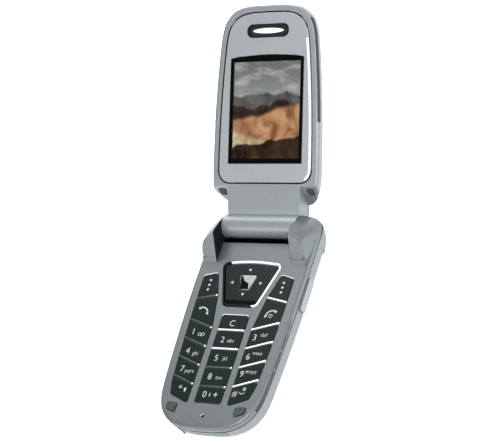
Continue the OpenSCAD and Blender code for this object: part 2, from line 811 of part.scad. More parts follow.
// Vibration motor with its off-centre weight drawn as a short drum
module vibration_motor() color("#9a9da0")
    translate([motor_x, yu(speaker_u), wall + seat_fit + motor_r]) rotate([90, 0, 0]) {
        cylinder(r = motor_r, h = 8);
        translate([0, 0, -1.8]) cylinder(r = motor_r - 0.3, h = 1.8 + eps);
    }

module microphone() color("#8b7440") {
    translate([0, yu(mic_u), board_top + seat_fit])
        cylinder(r = mic_r, h = plate_z - board_top - 2 * seat_fit);
}

// Main board, with clearance round the screw bosses and a switch at each side key
module main_board() color("#1f6b4a") {
    difference() {
        slab(base_outline(board_u, wall + 0.4, wall + 1.4), board_z, board_top);
        at_screws(screw_head_r + screw_boss + 2 * seat_fit, board_z - 1, board_top + 1);
        side_notch(1, side_key_len);
        side_notch(-1, volume_key_len);
    }
    on_both_sides()
        box(side_key_x - switch_l, side_key_x - key_travel - 0.05,
            yu(side_key_u) - switch_half, yu(side_key_u) + switch_half, tray_z + 0.2, board_z + board_t / 2);
}
module side_notch(side, len) {
    half = len / 2 + 1;
    scale([side, 1, 1])
        box(side_key_x - 2.1, phone_w, yu(side_key_u + half), yu(side_key_u - half),
            board_z - 1, board_top + 1);
}

// Shield cans over the circuits on the back of the board, each as [left, right, bottom, top]
module shield_cans() color("#c4c8cb") {
    low = base_len - 14;
    for (c = [[-18, -1.5, low - 12, 46], [1.5, 18, low - 18, 46], [1.5, 14, low, low - 14]])
        box(c[0], c[1], yu(c[2]), yu(c[3]), tray_z + 0.15, board_z - seat_fit);
}

// Connector and its way through the bottom wall
module system_connector() color("#b4b8bb") {
    half = connector_w / 2;
    top = board_z - seat_fit;
    difference() {
        box(-half, half, yu(connector_u), yu(connector_u - connector_l), connector_z, top);
        box(-half + connector_wall, half - connector_wall,
            yu(connector_u + 1), yu(connector_u - connector_l + 1.4),
            connector_z + connector_wall, top - connector_wall);
    }
}
module connector_way() {
    half = connector_w / 2 + 0.1;
    box(-half, half, yu(base_len + 1), yu(connector_u - connector_l - 0.1), connector_z - 0.1, board_z + 0.1);
}

// Flap over the connector: a curved plate let into the bottom end, on a pin at its left corner
module connector_flap() color("#85898c") {
    intersection() {
        base_lower(flap_z, seam_z - flap_fit, cap_u, 0);
        base_wall(cap_u - 2, flap_t);
        box(-flap_w, flap_w, yu(base_len + 1), yu(cap_u + 5), flap_z, seam_z);
    }
    flap_pin(flap_pin_r, flap_z - flap_pin_end, seam_z + flap_pin_end);
}
module flap_pin(r, z0, z1) {
    translate([-flap_w, flap_pin_y, z0]) cylinder(r = r, h = z1 - z0, $fn = 32);
}
module flap_recess() {
    half = flap_w + flap_fit;
    difference() {
        box(-half, half, yu(base_len + 1), yu(base_len - 9), flap_z - flap_fit, seam_z + 1);
        slab(base_outline(cap_u - 6, flap_t + flap_fit, flap_t + flap_fit), -1, seam_z + 2);
    }
}

module case_screws() color("#5c6063") {
    at_screws(screw_r, screw_seat, tray_z + screw_bite - 0.3);
    at_screws(screw_head_r, screw_seat, screw_seat + screw_head_h);
}

// ---------------------------------------------------------------- hinge

module hinge_bush() color("#c0c4c7") at_hinge() {
    difference() {
        rod(pivot_r, -ear_in - pivot_depth + 0.2, -ear_in + pivot_reach);
        rod(pivot_r - bush_t, -ear_in - pivot_depth - 1, -ear_in + pivot_reach + 1);
        box(-ear_in - pivot_depth, -ear_in - flex_in, -pivot_r / 2, pivot_r / 2, -9, 0);
    }
}

module hinge_cam_pin() color("#a7abae") at_hinge() {
    rod(pivot_r, ear_in + 4 * seat_fit, ear_in + pivot_depth - 0.2);
    rod(cam_r, ear_in - pivot_reach + 2, ear_in + 1);
}

// Sprung cartridge in the right end of the barrel, bored for the cam pin
module hinge_cartridge() color("#b7bbbe") at_lid() {
    difference() {
        rod(pivot_r, ear_in - pivot_reach, barrel_half - 0.2);
        rod(cam_r + run_fit, ear_in - pivot_reach + 1.8, barrel_half + 1);
    }
}

// Flexible circuit: rolled inside the bush, then down the left ear to the main board
module hinge_flex() color("#c98a3a") {
    end = -ear_in - pivot_depth + 0.2;
    at_hinge() difference() {
        rod(flex_r, end, -ear_in + pivot_reach - 1);
        rod(flex_r - flex_t, end - 1, -ear_in + pivot_reach);
    }
    low = board_z - 0.2 - flex_t;
    for (leg = [[hinge_y - flex_t / 2, hinge_z - flex_r + 0.3], [yu(ear_u + 6), board_z - 0.2]])
        box(end, -ear_in - flex_in - 0.1, leg[0], hinge_y + flex_t / 2, low, leg[1]);
}

// ---------------------------------------------------------------- keypad

// Corners of an outer-column key in row i of the right side
function side_quad(i) = let (s = key_step, last = i == 3 ? 1 : 0) [
    [column_in, yu(row_u(i, 0) + s)],
    [key_x(row_u(i, 1)), yu(row_u(i, 1) + s)],
    [key_x(row_u(i + 1, 1)) - corner_cut * last, yu(row_u(i + 1, 1) - s * (1 - last))],
    [column_in, yu(row_u(i + 1, 0) - s * (1 - last))]
];
function mid_quad(i) = let (
        top = row_in_u + row_mid_drop + row_pitch * i + key_step,
        end = i == 3 ? mid_end : top + row_pitch - 2 * key_step
    ) [[-column_mid, yu(top)], [column_mid, yu(top)], [column_mid, yu(end)], [-column_mid, yu(end)]];
function clear_quad() = let (end = clear_top + clear_h - key_step, wide = column_mid + clear_wider)
    [[-wide, yu(clear_top)], [wide, yu(clear_top)], [column_mid, yu(end)], [-column_mid, yu(end)]];
function soft_quad() = [
    [soft_x, yu(soft_in_u)],
    [key_x(soft_out_u), yu(soft_out_u)],
    [key_x(call_out_u), yu(call_out_u - key_step)],
    [call_x, yu(call_in_u - key_step)]
];
function send_quad() = [
    [call_x, yu(call_in_u + key_step)],
    [key_x(call_out_u), yu(call_out_u + key_step)],
    [key_x(row_u(0, 1)), yu(row_u(0, 1) - key_step)],
    [column_in, yu(row_u(0, 0) - key_step)]
];
function call_quad(k) = mirrored(k[2] == 0 ? soft_quad() : send_quad(), k[1]);
function key_quad(k) = k[1] == 0 ? mid_quad(k[2]) : mirrored(side_quad(k[2]), k[1]);
function quad_middle(q) = (q[0] + q[1] + q[2] + q[3]) / 4;

// Places under the keys: the plungers that pass the mat, and the arms of the navigation key
function plunger_places() = concat(
    [for (k = KEYS) quad_middle(key_quad(k))],
    [for (k = CALL_KEYS) quad_middle(call_quad(k))],
    [quad_middle(clear_quad()), [0, yu(nav_u) + nav_reach], [0, yu(nav_u) - nav_reach]]);

// Key: a cap in the plate with a plunger under its middle
module key_cap(quad, tint) {
    m = quad_middle(quad);
    color(tint) {
        slab(rounded(quad, key_corner), key_z, key_top);
        translate([m[0], m[1], plunger_z]) cylinder(r = plunger_r, h = key_z - plunger_z + eps, $fn = 24);
    }
}

// Rubber mat that carries the keys, open over the navigation key's rocker
module keypad_mat() color("#d5d8da") {
    rocker = nav_reach + 2.2;
    difference() {
        slab(pad_outline(0), mat_z, mat_z + mat_t);
        for (p = plunger_places())
            translate([p[0], p[1], mat_z - 1]) cylinder(r = plunger_r + 0.35, h = mat_t + 2, $fn = 24);
        box(-rocker, rocker, yu(nav_u) - 3.4, yu(nav_u) + 3.4, mat_z - 1, mat_z + 2);
        at_screws(screw_head_r + 0.6, mat_z - 1, mat_z + 2);
    }
}
function pad_outline(inset) = rounded(both([
    [base_half(18) - wall - 1.6 - inset, yu(18.5 + inset / 2)],
    [base_half(60) - wall - 1.2 - inset, yu(60)],
    [base_half(74) - wall - 1.4 - inset, yu(74)],
    [10 - inset, yu(80.8 - inset / 2)]
]), 1);

module dome_sheet() color("#e4e6e8") {
    difference() {
        slab(pad_outline(1), dome_z, dome_z + dome_t);
        at_screws(screw_head_r + 0.6, dome_z - 1, dome_z + 2);
    }
    for (p = concat(plunger_places(), [for (k = [-1:1]) [k * nav_reach, yu(nav_u)]]))
        translate([p[0], p[1], dome_z + dome_t - eps]) cylinder(r = dome_r, h = dome_h + eps, $fn = 32);
}

// Bright strip across a gap between two keys, from a to b
module divider(a, b) {
    d = (b - a) / norm(b - a);
    w = [-d[1], d[0]] * divider_w / 2;
    slab([a + w, b + w, b - w, a - w], mat_z + mat_t + seat_fit, base_t + divider_proud);
}
module key_dividers() color("#d6dadd") {
    reach = key_fit - 2 * seat_fit;
    on_both_sides() {
        divider([call_x + seat_fit, yu(call_in_u)], [key_x(call_out_u), yu(call_out_u)]);
        for (i = [0:3])
            divider([column_in - reach, yu(row_u(i, 0))], [key_x(row_u(i, 1)) + reach, yu(row_u(i, 1))]);
    }
    for (i = [0:3]) let (y = yu(row_in_u + row_mid_drop + row_pitch * i))
        divider([-column_mid - reach, y], [column_mid + reach, y]);
}

module nav_frame() color("#e3e6e8") {
    difference() {
        nav_shape(0, mat_z + mat_t + seat_fit, base_t + divider_proud);
        nav_shape(nav_rim, mat_z, base_t + 3);
    }
}

// Confirm key: a plate that narrows downwards
function ok_outline(gap) = rounded([
    [-ok_w - 1.4 * gap, yu(ok_top_u - gap)],
    [ok_w + 1.4 * gap, yu(ok_top_u - gap)],
    [ok_end_w + gap, yu(ok_top_u + ok_h + gap)],
    [-ok_end_w - gap, yu(ok_top_u + ok_h + gap)]
], 0.7);
module ok_key() color("#b9bdbf") {
    foot = key_z + key_travel + nav_air;
    slab(ok_outline(0), foot, base_t + divider_proud);
    translate([0, yu(nav_u), plunger_z]) cylinder(r = plunger_r, h = foot + 0.05 - plunger_z, $fn = 24);
}

// Four-way key round the confirm key, with a foot above and below it
module nav_key() color("#26302f") {
    foot = key_z + nav_air;
    difference() {
        nav_shape(nav_rim + 0.2, foot, nav_top);
        slab(ok_outline(0.2), key_z - 1, key_top + 1);
    }
    for (k = [-1, 1])
        nav_foot(0, k * nav_reach, foot + eps);
}
module nav_foot(x, y, top) {
    low = plunger_z - key_travel + nav_drop;
    translate([x, yu(nav_u) + y, low]) cylinder(r = plunger_r - 0.2, h = top - low, $fn = 24);
}

// Rocker bar under the navigation key, with a foot at each side
module nav_actuator() color("#9aa0a3") {
    top = key_z + 0.05;
    bar = 0.4;
    difference() {
        union() {
            box(-nav_reach - 1, nav_reach + 1, yu(nav_u) - 1.3, yu(nav_u) + 1.3, top - bar, top);
            translate([0, yu(nav_u), top - bar]) cylinder(r = 2.5, h = bar);
        }
        translate([0, yu(nav_u), top - 1]) cylinder(r = plunger_r + 0.3, h = 2);
    }
    for (k = [-1, 1])
        nav_foot(k * nav_reach, 0, top - bar + 0.1);
}

// Side keys: a cap let into the rear case
module side_key_cap(side, len, gap, x0, x1) {
    y = yu(side_key_u);
    l = len / 2 + gap;
    h = side_key_h / 2 + gap;
    scale([side, 1, 1]) rotate([90, 0, 90]) translate([0, 0, x0]) linear_extrude(x1 - x0)
        polygon(rounded([[y - l, side_key_z - h], [y + l, side_key_z - h], [y + l, side_key_z + h],
            [y - l, side_key_z + h]], 1.2 + gap));
}
module side_key_way(side, len) {
    side_key_cap(side, len, key_fit, side_key_x - 1, phone_w / 2 + 3);
}
module side_key() color("#b5b7ba") {
    side_key_cap(1, side_key_len, 0, side_key_x, phone_w / 2 + side_key_proud);
}
module volume_key() color("#b5b7ba") {
    side_key_cap(-1, volume_key_len, 0, side_key_x, phone_w / 2 + side_key_proud);
}

// ---------------------------------------------------------------- lid

// Lid casing between two levels, levels counted along the face normal
module lid_shell(z0, z1, set_in = 0) {
    front = [for (d = round_steps(lid_front_round, 4)) lid_rim - d];
    back = [for (d = round_steps(lid_back_round, 5)) lid_back + d];
    inner = [for (z = concat(back, reversed(front))) if (z > z0 + 0.05 && z < z1 - 0.05) z];
    loft([for (z = concat([z0], inner, [z1]))
        let (back_in = round_inset(lid_back_round, z - lid_back))
        let (e = set_in + back_in + round_inset(lid_front_round, lid_rim - z))
        ring(reversed(lid_outline(lobe_v, e, e)), z)]);
}

// Scoops under the lobes that clear the ears when the lid is closed
module lobe_scoops() {
    on_both_sides() rotate([180, 0, 0]) intersection() {
        below_ramp(lobe_fit, far / 2);
        box(neck_w, far, -far, far, -far, far);
    }
    on_both_sides() box(neck_w, far, -far, lobe_v + 1, -far, far);
}

// Neck and barrel in section, extruded across the neck
module neck_body() {
    rotate([90, 0, 90]) translate([0, 0, -neck_w]) linear_extrude(2 * neck_w)
        polygon([[lid_taper_v, lid_rim], [fold_v, lid_rim], [barrel_r - 0.1, lid_rim - 0.4], [0, 0],
            [2.3, 0.7 - barrel_r], [3.3, neck_back], [lid_taper_v, neck_back]]);
    rod(barrel_r, -barrel_half, barrel_half);
}

module lid_front_case() color("#b3b8bb") at_lid() {
    in_neck = neck_w - neck_wall;
    difference() {
        union() {
            difference() {
                lid_shell(lid_split, lid_rim);
                slab(lid_outline(lobe_end, lid_wall + 0.1, lid_wall + 0.1), lid_split - 1, tray_floor);
                lobe_scoops();
            }
            neck_body();
        }
        slab(panel_outline(-panel_gap), pocket_floor, lid_rim + 1);
        box(-window_w - 1, window_w + 1, window_v - 1.5, window_v + window_h + 2, lid_split - 4, lid_rim + 1);
        box(-ear_slot_w - 0.4, ear_slot_w + 0.4, ear_slot_v - 4.6, ear_slot_v + 4.2,
            lid_split - 1, lid_rim + 1);
        box(-in_neck, in_neck, fold_v + 4, lid_taper_v + 1, neck_back - 1, lid_board_top + 1.8);
        box(-in_neck, -ear_in + pivot_reach + 4, tail_v - 0.4, fold_v + 5, tail_z - 0.15, tail_z + 1.6);
        rod(pivot_r + run_fit, -barrel_half - 1, -ear_in + pivot_reach + 2);
        rod(pivot_r + seat_fit, ear_in - pivot_reach - 0.2, barrel_half + 1);
    }
}

module lid_rear_case() color("#9da2a5") at_lid() {
    difference() {
        union() {
            difference() {
                lid_shell(lid_back, lid_split - seat_fit, lid_set_in);
                slab(lid_outline(lobe_end, lid_back_wall, lid_back_wall), lid_inner_back, lid_split + 1);
                lobe_scoops();
                box(-neck_w - seat_fit, neck_w + seat_fit, -1, lid_taper_v + 0.3, lid_inner_back, 5);
            }
            rotate([90, 0, 90]) translate([0, 0, -neck_w]) linear_extrude(2 * neck_w)
                polygon([[3.5, lid_inner_back], [4.3, lid_inner_back - 0.8], [5.6, lid_back],
                    [lobe_v + 4, lid_back], [lobe_v + 4, lid_inner_back]]);
        }
        slab(outer_outline(0.1), lid_back - 1, lid_inner_back + 1);
        translate([0, camera_v, lid_back - 1]) cylinder(r = camera_r - 1 + seat_fit, h = lid_wall + 2);
    }
}

// Small outer window and its display
function outer_outline(gap) = let (w = outer_w + gap, h = outer_h / 2 + gap)
    rounded([[-w, outer_v - h], [w, outer_v - h], [w, outer_v + h], [-w, outer_v + h]], 3);
module outer_window() color("#15181a") at_lid() {
    slab(outer_outline(0), lid_back - 0.1, lid_back + 0.8);
}
module outer_display() color("#2a2d2f") at_lid() {
    w = outer_w - 1;
    h = outer_h / 2 - 1;
    box(-w, w, outer_v - h, outer_v + h, lid_back + 0.85, lid_board_z - seat_fit);
}

// Display window with an arched upper edge, grown by gap
function window_outline(gap) = let (top = window_v + window_h + gap, w = window_w + gap) rounded(concat(
    [[-w, window_v - gap], [w, window_v - gap], [w - 0.15, top]],
    [for (i = [1:7]) let (t = 1 - i / 4) [(w - 0.15) * t, top + window_arch * (1 - t * t)]],
    [[-w + 0.15, top]]), 0.5, 3);

// Racetrack of the earpiece, set in by gap
module ear_slot(gap, z0, z1) {
    h = ear_slot_h / 2 - gap;
    w = ear_slot_w - gap;
    for (k = [-1, 1])
        translate([k * (w - h), ear_slot_v, z0]) cylinder(r = h, h = z1 - z0);
    box(-w + h, w - h, ear_slot_v - h, ear_slot_v + h, z0, z1);
}

module lid_panel() color("#bfc3c6") at_lid() {
    difference() {
        slab(panel_outline(0), panel_floor, lid_face);
        slab(window_outline(0.08), panel_floor - 1, lid_face + 1);
        ear_slot(-seat_fit, panel_floor - 1, lid_face + 1);
    }
}
module display_window() color("#0f1214") at_lid() {
    slab(window_outline(0), panel_floor + 0.1, lid_face - 0.08);
}
module display_module() color("#5a6064") at_lid() {
    w = window_w + 0.7;
    top = panel_floor - seat_fit;
    box(-w, w, window_v - 1, window_v + window_h + 1.6, top - display_t, top);
}
module earpiece_trim() color("#e3e6e8") at_lid() {
    difference() {
        ear_slot(0, panel_floor, lid_face + 0.1);
        ear_slot(ear_trim, panel_floor - 1, lid_face + 1);
    }
}
module earpiece_grille() color("#a9adb0") at_lid() {
    ear_slot(ear_trim + 0.1, panel_floor, lid_face - 0.35);
}
module earpiece_speaker() color("#33383a") at_lid() {
    r = 4;
    low = lid_board_top + seat_fit;
    top = panel_floor - seat_fit;
    for (k = [-1, 1])
        translate([k * (r + 0.5), ear_slot_v, low]) cylinder(r = r, h = top - low);
    box(-r - 0.5, r + 0.5, ear_slot_v - r, ear_slot_v + r, low, top);
}

// Lid board, narrower in the neck, with a flexible tail towards the barrel
module lid_board() color("#1f6b4a") at_lid() {
    in_neck = neck_w - neck_wall - 0.15;
    difference() {
        union() {
            slab(lid_outline(lobe_end, lid_back_wall + 0.2, lid_back_wall + 0.2), lid_board_z, lid_board_top);
            box(-12, -6.2, tail_v, lid_taper_v, tail_z, tail_z + tail_t);
        }
        on_both_sides() box(in_neck, phone_w, 0, lid_taper_v + 0.15, lid_board_z - 1, lid_board_top + 1);
        translate([0, camera_v, lid_board_z - 1]) cylinder(r = 3.5, h = lid_board_t + 2);
    }
}

// Rubber pads under the lobes, in the frame of the ramp that they face
module lid_bumpers() color("#4f5b5a") at_lid() {
    on_both_sides() rotate([180, 0, 0]) translate([ear_in, -ramp_u, ramp_z]) rotate([ramp_slope, 0, 0])
        translate([3.2, -8.9, lobe_fit - bumper_h]) linear_extrude(bumper_h - seat_fit)
            polygon(rounded([[-1.9, -1.6], [1.9, -1.6], [1.6, 1.9], [-1.2, 2]], 0.8));
}

module camera_bezel() color("#8f9497") at_lid() translate([0, camera_v, lid_back]) {
    difference() {
        union() {
            translate([0, 0, -camera_proud])
                cylinder(r1 = camera_r - 0.8, r2 = camera_r, h = camera_proud, $fn = 96);
            translate([0, 0, -eps]) cylinder(r = camera_r - 1, h = lid_wall);
        }
        translate([0, 0, -camera_proud - 1]) cylinder(r = camera_lens_r + seat_fit, h = 9);
    }
}
module camera_module() color("#16191b") at_lid() {
    low = lid_back - camera_proud + 0.4;
    translate([0, camera_v, low]) cylinder(r = camera_lens_r, h = lid_board_top - low);
}

front_case();
rear_case();
keypad_mat();
dome_sheet();
main_board();
nav_frame();
key_dividers();
side_trim();
base_bumpers();
shield_cans();
battery_cell();
battery_contacts();
vibration_motor();
antenna();
loudspeaker();
microphone();
system_connector();
hinge_cam_pin();
hinge_bush();
hinge_flex();
case_screws();
battery_cover();
connector_flap();
nav_actuator();
nav_key();
ok_key();
for (k = CALL_KEYS) key_cap(call_quad(k), "#26302f");
key_cap(clear_quad(), "#26302f");  // clear_key
for (k = KEYS) key_cap(key_quad(k), "#26302f");
side_key();
volume_key();
lid_front_case();
lid_rear_case();
lid_panel();
display_window();
display_module();
earpiece_trim();
earpiece_grille();
earpiece_speaker();
lid_bumpers();
lid_board();
hinge_cartridge();
outer_window();
outer_display();
camera_bezel();
camera_module();
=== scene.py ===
"""Flip phone: painted casings, keys, printing, display and trim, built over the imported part.

Sizes are in millimetres unless a name says otherwise. The pieces of the lid are modelled flat, in the lid's
own frame (x across, y from the hinge to the tip, z out of its inner face), and are then laid open with it.
"""

import functools
import json
import logging
import math
from collections.abc import Callable, Iterable, Sequence
from dataclasses import dataclass
from enum import Enum

import bmesh
import bpy
from mathutils import Matrix, Vector


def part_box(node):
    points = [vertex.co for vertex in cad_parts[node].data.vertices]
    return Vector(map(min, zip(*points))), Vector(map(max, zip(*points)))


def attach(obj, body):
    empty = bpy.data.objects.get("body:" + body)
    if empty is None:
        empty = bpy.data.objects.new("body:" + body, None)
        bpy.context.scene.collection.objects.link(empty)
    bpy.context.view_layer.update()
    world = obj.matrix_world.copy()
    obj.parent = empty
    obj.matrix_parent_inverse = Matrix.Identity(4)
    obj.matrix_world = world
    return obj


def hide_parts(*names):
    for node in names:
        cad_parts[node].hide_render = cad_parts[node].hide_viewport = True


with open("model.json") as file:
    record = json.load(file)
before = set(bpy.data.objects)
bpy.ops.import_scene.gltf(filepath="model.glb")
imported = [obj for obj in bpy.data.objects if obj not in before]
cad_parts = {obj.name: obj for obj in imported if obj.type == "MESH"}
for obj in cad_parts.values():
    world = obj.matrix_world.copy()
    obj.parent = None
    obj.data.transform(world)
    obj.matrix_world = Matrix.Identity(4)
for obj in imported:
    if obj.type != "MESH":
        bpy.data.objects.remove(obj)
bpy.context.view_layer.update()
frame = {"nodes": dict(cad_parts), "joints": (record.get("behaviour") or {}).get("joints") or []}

MM = 0.001
LOG = logging.getLogger("flip_phone")
HINGE = next(joint for joint in frame["joints"] if joint["name"] == "lid_hinge")
LID_TILT = math.radians(180 - HINGE["range_deg"][1])
HINGE_Y = HINGE["pos_m"][1] / MM
SHEET = 0.05  # thickness of the thin sheets that are laid over a face

Colour = tuple[float, float, float, float]
Sockets = dict[str, object]
Outputs = bpy.types.NodeOutputs
Add = Callable[..., Outputs]
Mesh = bmesh.types.BMesh
Edge = bmesh.types.BMEdge
Face = bmesh.types.BMFace


class Place(Enum):
    """The frame in which a piece is modelled: a matrix from its millimetres to the part's metres."""

    BASE = Matrix.Scale(MM, 4)
    LID = Matrix.Translation(HINGE["pos_m"]) @ Matrix.Rotation(LID_TILT, 4, "X") @ Matrix.Scale(MM, 4)


# ---------------------------------------------------------------- materials


def linear(hex_colour: str) -> Colour:
    """Turn a colour into what a shader's socket takes.

    Args:
        hex_colour: The sRGB colour, as "#rrggbb".

    Returns:
        Linear red, green and blue, and an alpha of 1.
    """
    parts = [int(hex_colour[i:i + 2], 16) / 255 for i in (1, 3, 5)]
    red, green, blue = (c / 12.92 if c <= 0.04045 else ((c + 0.055) / 1.055) ** 2.4 for c in parts)
    return red, green, blue, 1.0


def add_node(tree: bpy.types.NodeTree, kind: str, inputs: dict | None = None,
             stops: Sequence[tuple[float, Colour]] = (), **settings: object) -> Outputs:
    """Add a shader node with its settings and links.

    Args:
        tree: The material's node tree.
        kind: The node's type name.
        inputs: Socket name or index, with a value or the output socket to link to it.
        stops: Places and colours of a colour ramp.
        settings: Attributes of the node.

    Returns:
        The outputs of the new node.
    """
    node = tree.nodes.new(kind)
    for name, value in settings.items():
        setattr(node, name, value)
    for key, value in (inputs or {}).items():
        if isinstance(value, bpy.types.NodeSocket):
            tree.links.new(value, node.inputs[key])
        else:
            node.inputs[key].default_value = value
    for index, (place, colour) in enumerate(stops):
        ramp = node.color_ramp.elements
        element = ramp[index] if index < len(ramp) else ramp.new(place)
        element.position = place
        element.color = colour
    return node.outputs


@dataclass(frozen=True)
class Finish:
    """A surface finish, and the record's material slot that it belongs to."""

    name: str
    slot: str

    def sockets(self, add: Add, where: Outputs) -> Sockets:
        """Draw the finish's patterns.

        Args:
            add: The function add_node, bound to the material's node tree.
            where: The outputs of its Texture Coordinate node.

        Returns:
            The values and links of the shader's sockets.
        """
        raise NotImplementedError


@functools.cache
def material_of(finish: Finish) -> bpy.types.Material:
    """Build a finish's material once, and give the same one after that.

    Args:
        finish: The finish.

    Returns:
        Its material.
    """
    material = bpy.data.materials.new(finish.name)
    material.use_nodes = True
    material.node_tree.nodes.clear()
    add = functools.partial(add_node, material.node_tree)
    shader = add("ShaderNodeBsdfPrincipled", finish.sockets(add, add("ShaderNodeTexCoord")))
    add("ShaderNodeOutputMaterial", {"Surface": shader["BSDF"]})
    return material


def per_mm(size: float) -> float:
    """Texture scale that gives one cell or wave in so many millimetres."""
    return 1 / (size * MM)


@dataclass(frozen=True)
class MetallicPaint(Finish):
    """Aluminium-flake lacquer sprayed on moulded ABS: satin, with a fine grain and a slight orange peel."""

    light: str
    dark: str
    metallic: float = 0.5
    roughness: float = 0.46
    spread: float = 0.05
    flake: float = 0.3  # real flakes are 0.03, drawn coarser so that they show
    drift: float = 18.0
    peel: float = 1.1

    def sockets(self, add: Add, where: Outputs) -> Sockets:
        """Vary the tone by flake and by slow drift, and the gloss with it."""
        place = where["Object"]
        flake = add("ShaderNodeTexVoronoi", {"Vector": place, "Scale": per_mm(self.flake)})
        fleck = add("ShaderNodeSeparateColor", {"Color": flake["Color"]})
        drift = add("ShaderNodeTexNoise", {"Vector": place, "Scale": per_mm(self.drift), "Detail": 4.0})
        share = add("ShaderNodeMath", {0: fleck["Red"], 1: drift["Fac"]}, operation="MULTIPLY")
        tone = add("ShaderNodeMix", {0: share["Value"], 6: linear(self.light), 7: linear(self.dark)},
                   data_type="RGBA")
        gloss = add("ShaderNodeMapRange", {"Value": fleck["Green"], "To Min": self.roughness - self.spread,
                                           "To Max": self.roughness + self.spread})
        peel = add("ShaderNodeTexNoise", {"Vector": place, "Scale": per_mm(self.peel)})
        bump = add("ShaderNodeBump", {"Height": peel["Fac"], "Strength": 0.1, "Distance": 0.03 * MM})
        return {"Base Color": tone[2], "Roughness": gloss["Result"], "Normal": bump["Normal"],
                "Metallic": self.metallic, "Coat Weight": 0.12, "Coat Roughness": 0.3}


@dataclass(frozen=True)
class ChromePlate(Finish):
    """Chrome plated on moulded ABS, its colour darkened as painted shade: a mirror with faint smudges."""

    colour: str = "#2a2f30"
    roughness: float = 0.2
    smudge: float = 4.0

    def sockets(self, add: Add, where: Outputs) -> Sockets:
        """Blur the mirror a little where it has been touched."""
        smudge = add("ShaderNodeTexNoise",
                     {"Vector": where["Object"], "Scale": per_mm(self.smudge), "Detail": 5.0})
        gloss = add("ShaderNodeMapRange", {"Value": smudge["Fac"], "From Min": 0.4, "From Max": 0.75,
                                           "To Min": self.roughness, "To Max": self.roughness + 0.1})
        return {"Base Color": linear(self.colour), "Roughness": gloss["Result"], "Metallic": 1.0}


@dataclass(frozen=True)
class MouldedPlastic(Finish):
    """Moulded polycarbonate, ABS or rubber: one colour that drifts, with a fine spark-eroded grain."""

    light: str
    dark: str
    roughness: float = 0.3
    grain: float = 0.25
    depth: float = 0.01
    coat: float = 0.0
    drift: float = 7.0
    specular: float = 0.5

    def sockets(self, add: Add, where: Outputs) -> Sockets:
        """Mix the two tones by a slow noise, and raise the grain."""
        place = where["Object"]
        drift = add("ShaderNodeTexNoise", {"Vector": place, "Scale": per_mm(self.drift), "Detail": 3.0})
        tone = add("ShaderNodeMix", {0: drift["Fac"], 6: linear(self.dark), 7: linear(self.light)},
                   data_type="RGBA")
        grain = add("ShaderNodeTexNoise", {"Vector": place, "Scale": per_mm(self.grain), "Detail": 2.0})
        gloss = add("ShaderNodeMapRange", {"Value": grain["Fac"], "To Min": self.roughness * 0.85,
                                           "To Max": self.roughness * 1.15})
        bump = add("ShaderNodeBump", {"Height": grain["Fac"], "Strength": 0.3, "Distance": self.depth * MM})
        return {"Base Color": tone[2], "Roughness": gloss["Result"], "Normal": bump["Normal"], "IOR": 1.5,
                "Specular IOR Level": self.specular, "Coat Weight": self.coat, "Coat Roughness": 0.06}


@dataclass(frozen=True)
class BrushedMetal(Finish):
    """Turned, drawn or stamped metal: fine parallel marks along one axis."""

    colour: str
    roughness: float = 0.3
    mark: float = 0.15
    along: tuple[float, float, float] = (0.04, 1.0, 1.0)

    def sockets(self, add: Add, where: Outputs) -> Sockets:
        """Stretch a noise along the marks and let it set gloss and bump."""
        pulled = add("ShaderNodeMapping", {"Vector": where["Object"], "Scale": self.along})
        marks = add("ShaderNodeTexNoise",
                    {"Vector": pulled["Vector"], "Scale": per_mm(self.mark), "Detail": 3.0})
        gloss = add("ShaderNodeMapRange", {"Value": marks["Fac"], "To Min": self.roughness * 0.7,
                                           "To Max": self.roughness * 1.3})
        bump = add("ShaderNodeBump", {"Height": marks["Fac"], "Strength": 0.2, "Distance": 0.01 * MM})
        return {"Base Color": linear(self.colour), "Roughness": gloss["Result"], "Normal": bump["Normal"],
                "Metallic": 1.0}


@dataclass(frozen=True)
class PrintedInk(Finish):
    """Printed ink or coated paper: thin, matt and slightly uneven in cover, lit from behind if it glows."""

    light: str
    dark: str
    roughness: float = 0.5
    fleck: float = 0.35
    glow: float = 0.0

    def sockets(self, add: Add, where: Outputs) -> Sockets:
        """Let the cover vary from fleck to fleck."""
        cover = add("ShaderNodeTexNoise",
                    {"Vector": where["Object"], "Scale": per_mm(self.fleck), "Detail": 2.0})
        tone = add("ShaderNodeMix", {0: cover["Fac"], 6: linear(self.light), 7: linear(self.dark)},
                   data_type="RGBA")
        return {"Base Color": tone[2], "Roughness": self.roughness,
                "Emission Color": linear(self.light), "Emission Strength": self.glow}


@dataclass(frozen=True)
class ClearAcrylic(Finish):
    """Acrylic sheet, coated against reflections: clear, flat, with a trace of wiped-off smears."""

    colour: str = "#fbfdfd"
    smear: float = 9.0
    index: float = 1.13  # what the coating leaves of the acrylic's 1.49

    def sockets(self, add: Add, where: Outputs) -> Sockets:
        """Make it clear, and let the smears dull it a little."""
        smear = add("ShaderNodeTexNoise",
                    {"Vector": where["Object"], "Scale": per_mm(self.smear), "Detail": 5.0,
                     "Distortion": 1.5})
        gloss = add("ShaderNodeMapRange",
                    {"Value": smear["Fac"], "From Min": 0.5, "From Max": 0.8, "To Max": 0.05})
        return {"Base Color": linear(self.colour), "Roughness": gloss["Result"],
                "IOR": self.index, "Transmission Weight": 1.0}


@dataclass(frozen=True)
class Ridge:
    """One hill line of the wallpaper, in shares of the picture's height."""

    level: float
    swing: float
    waves: float
    seed: float
    dark: str
    light: str
    soft: float = 0.012
    lean: float = 0.0


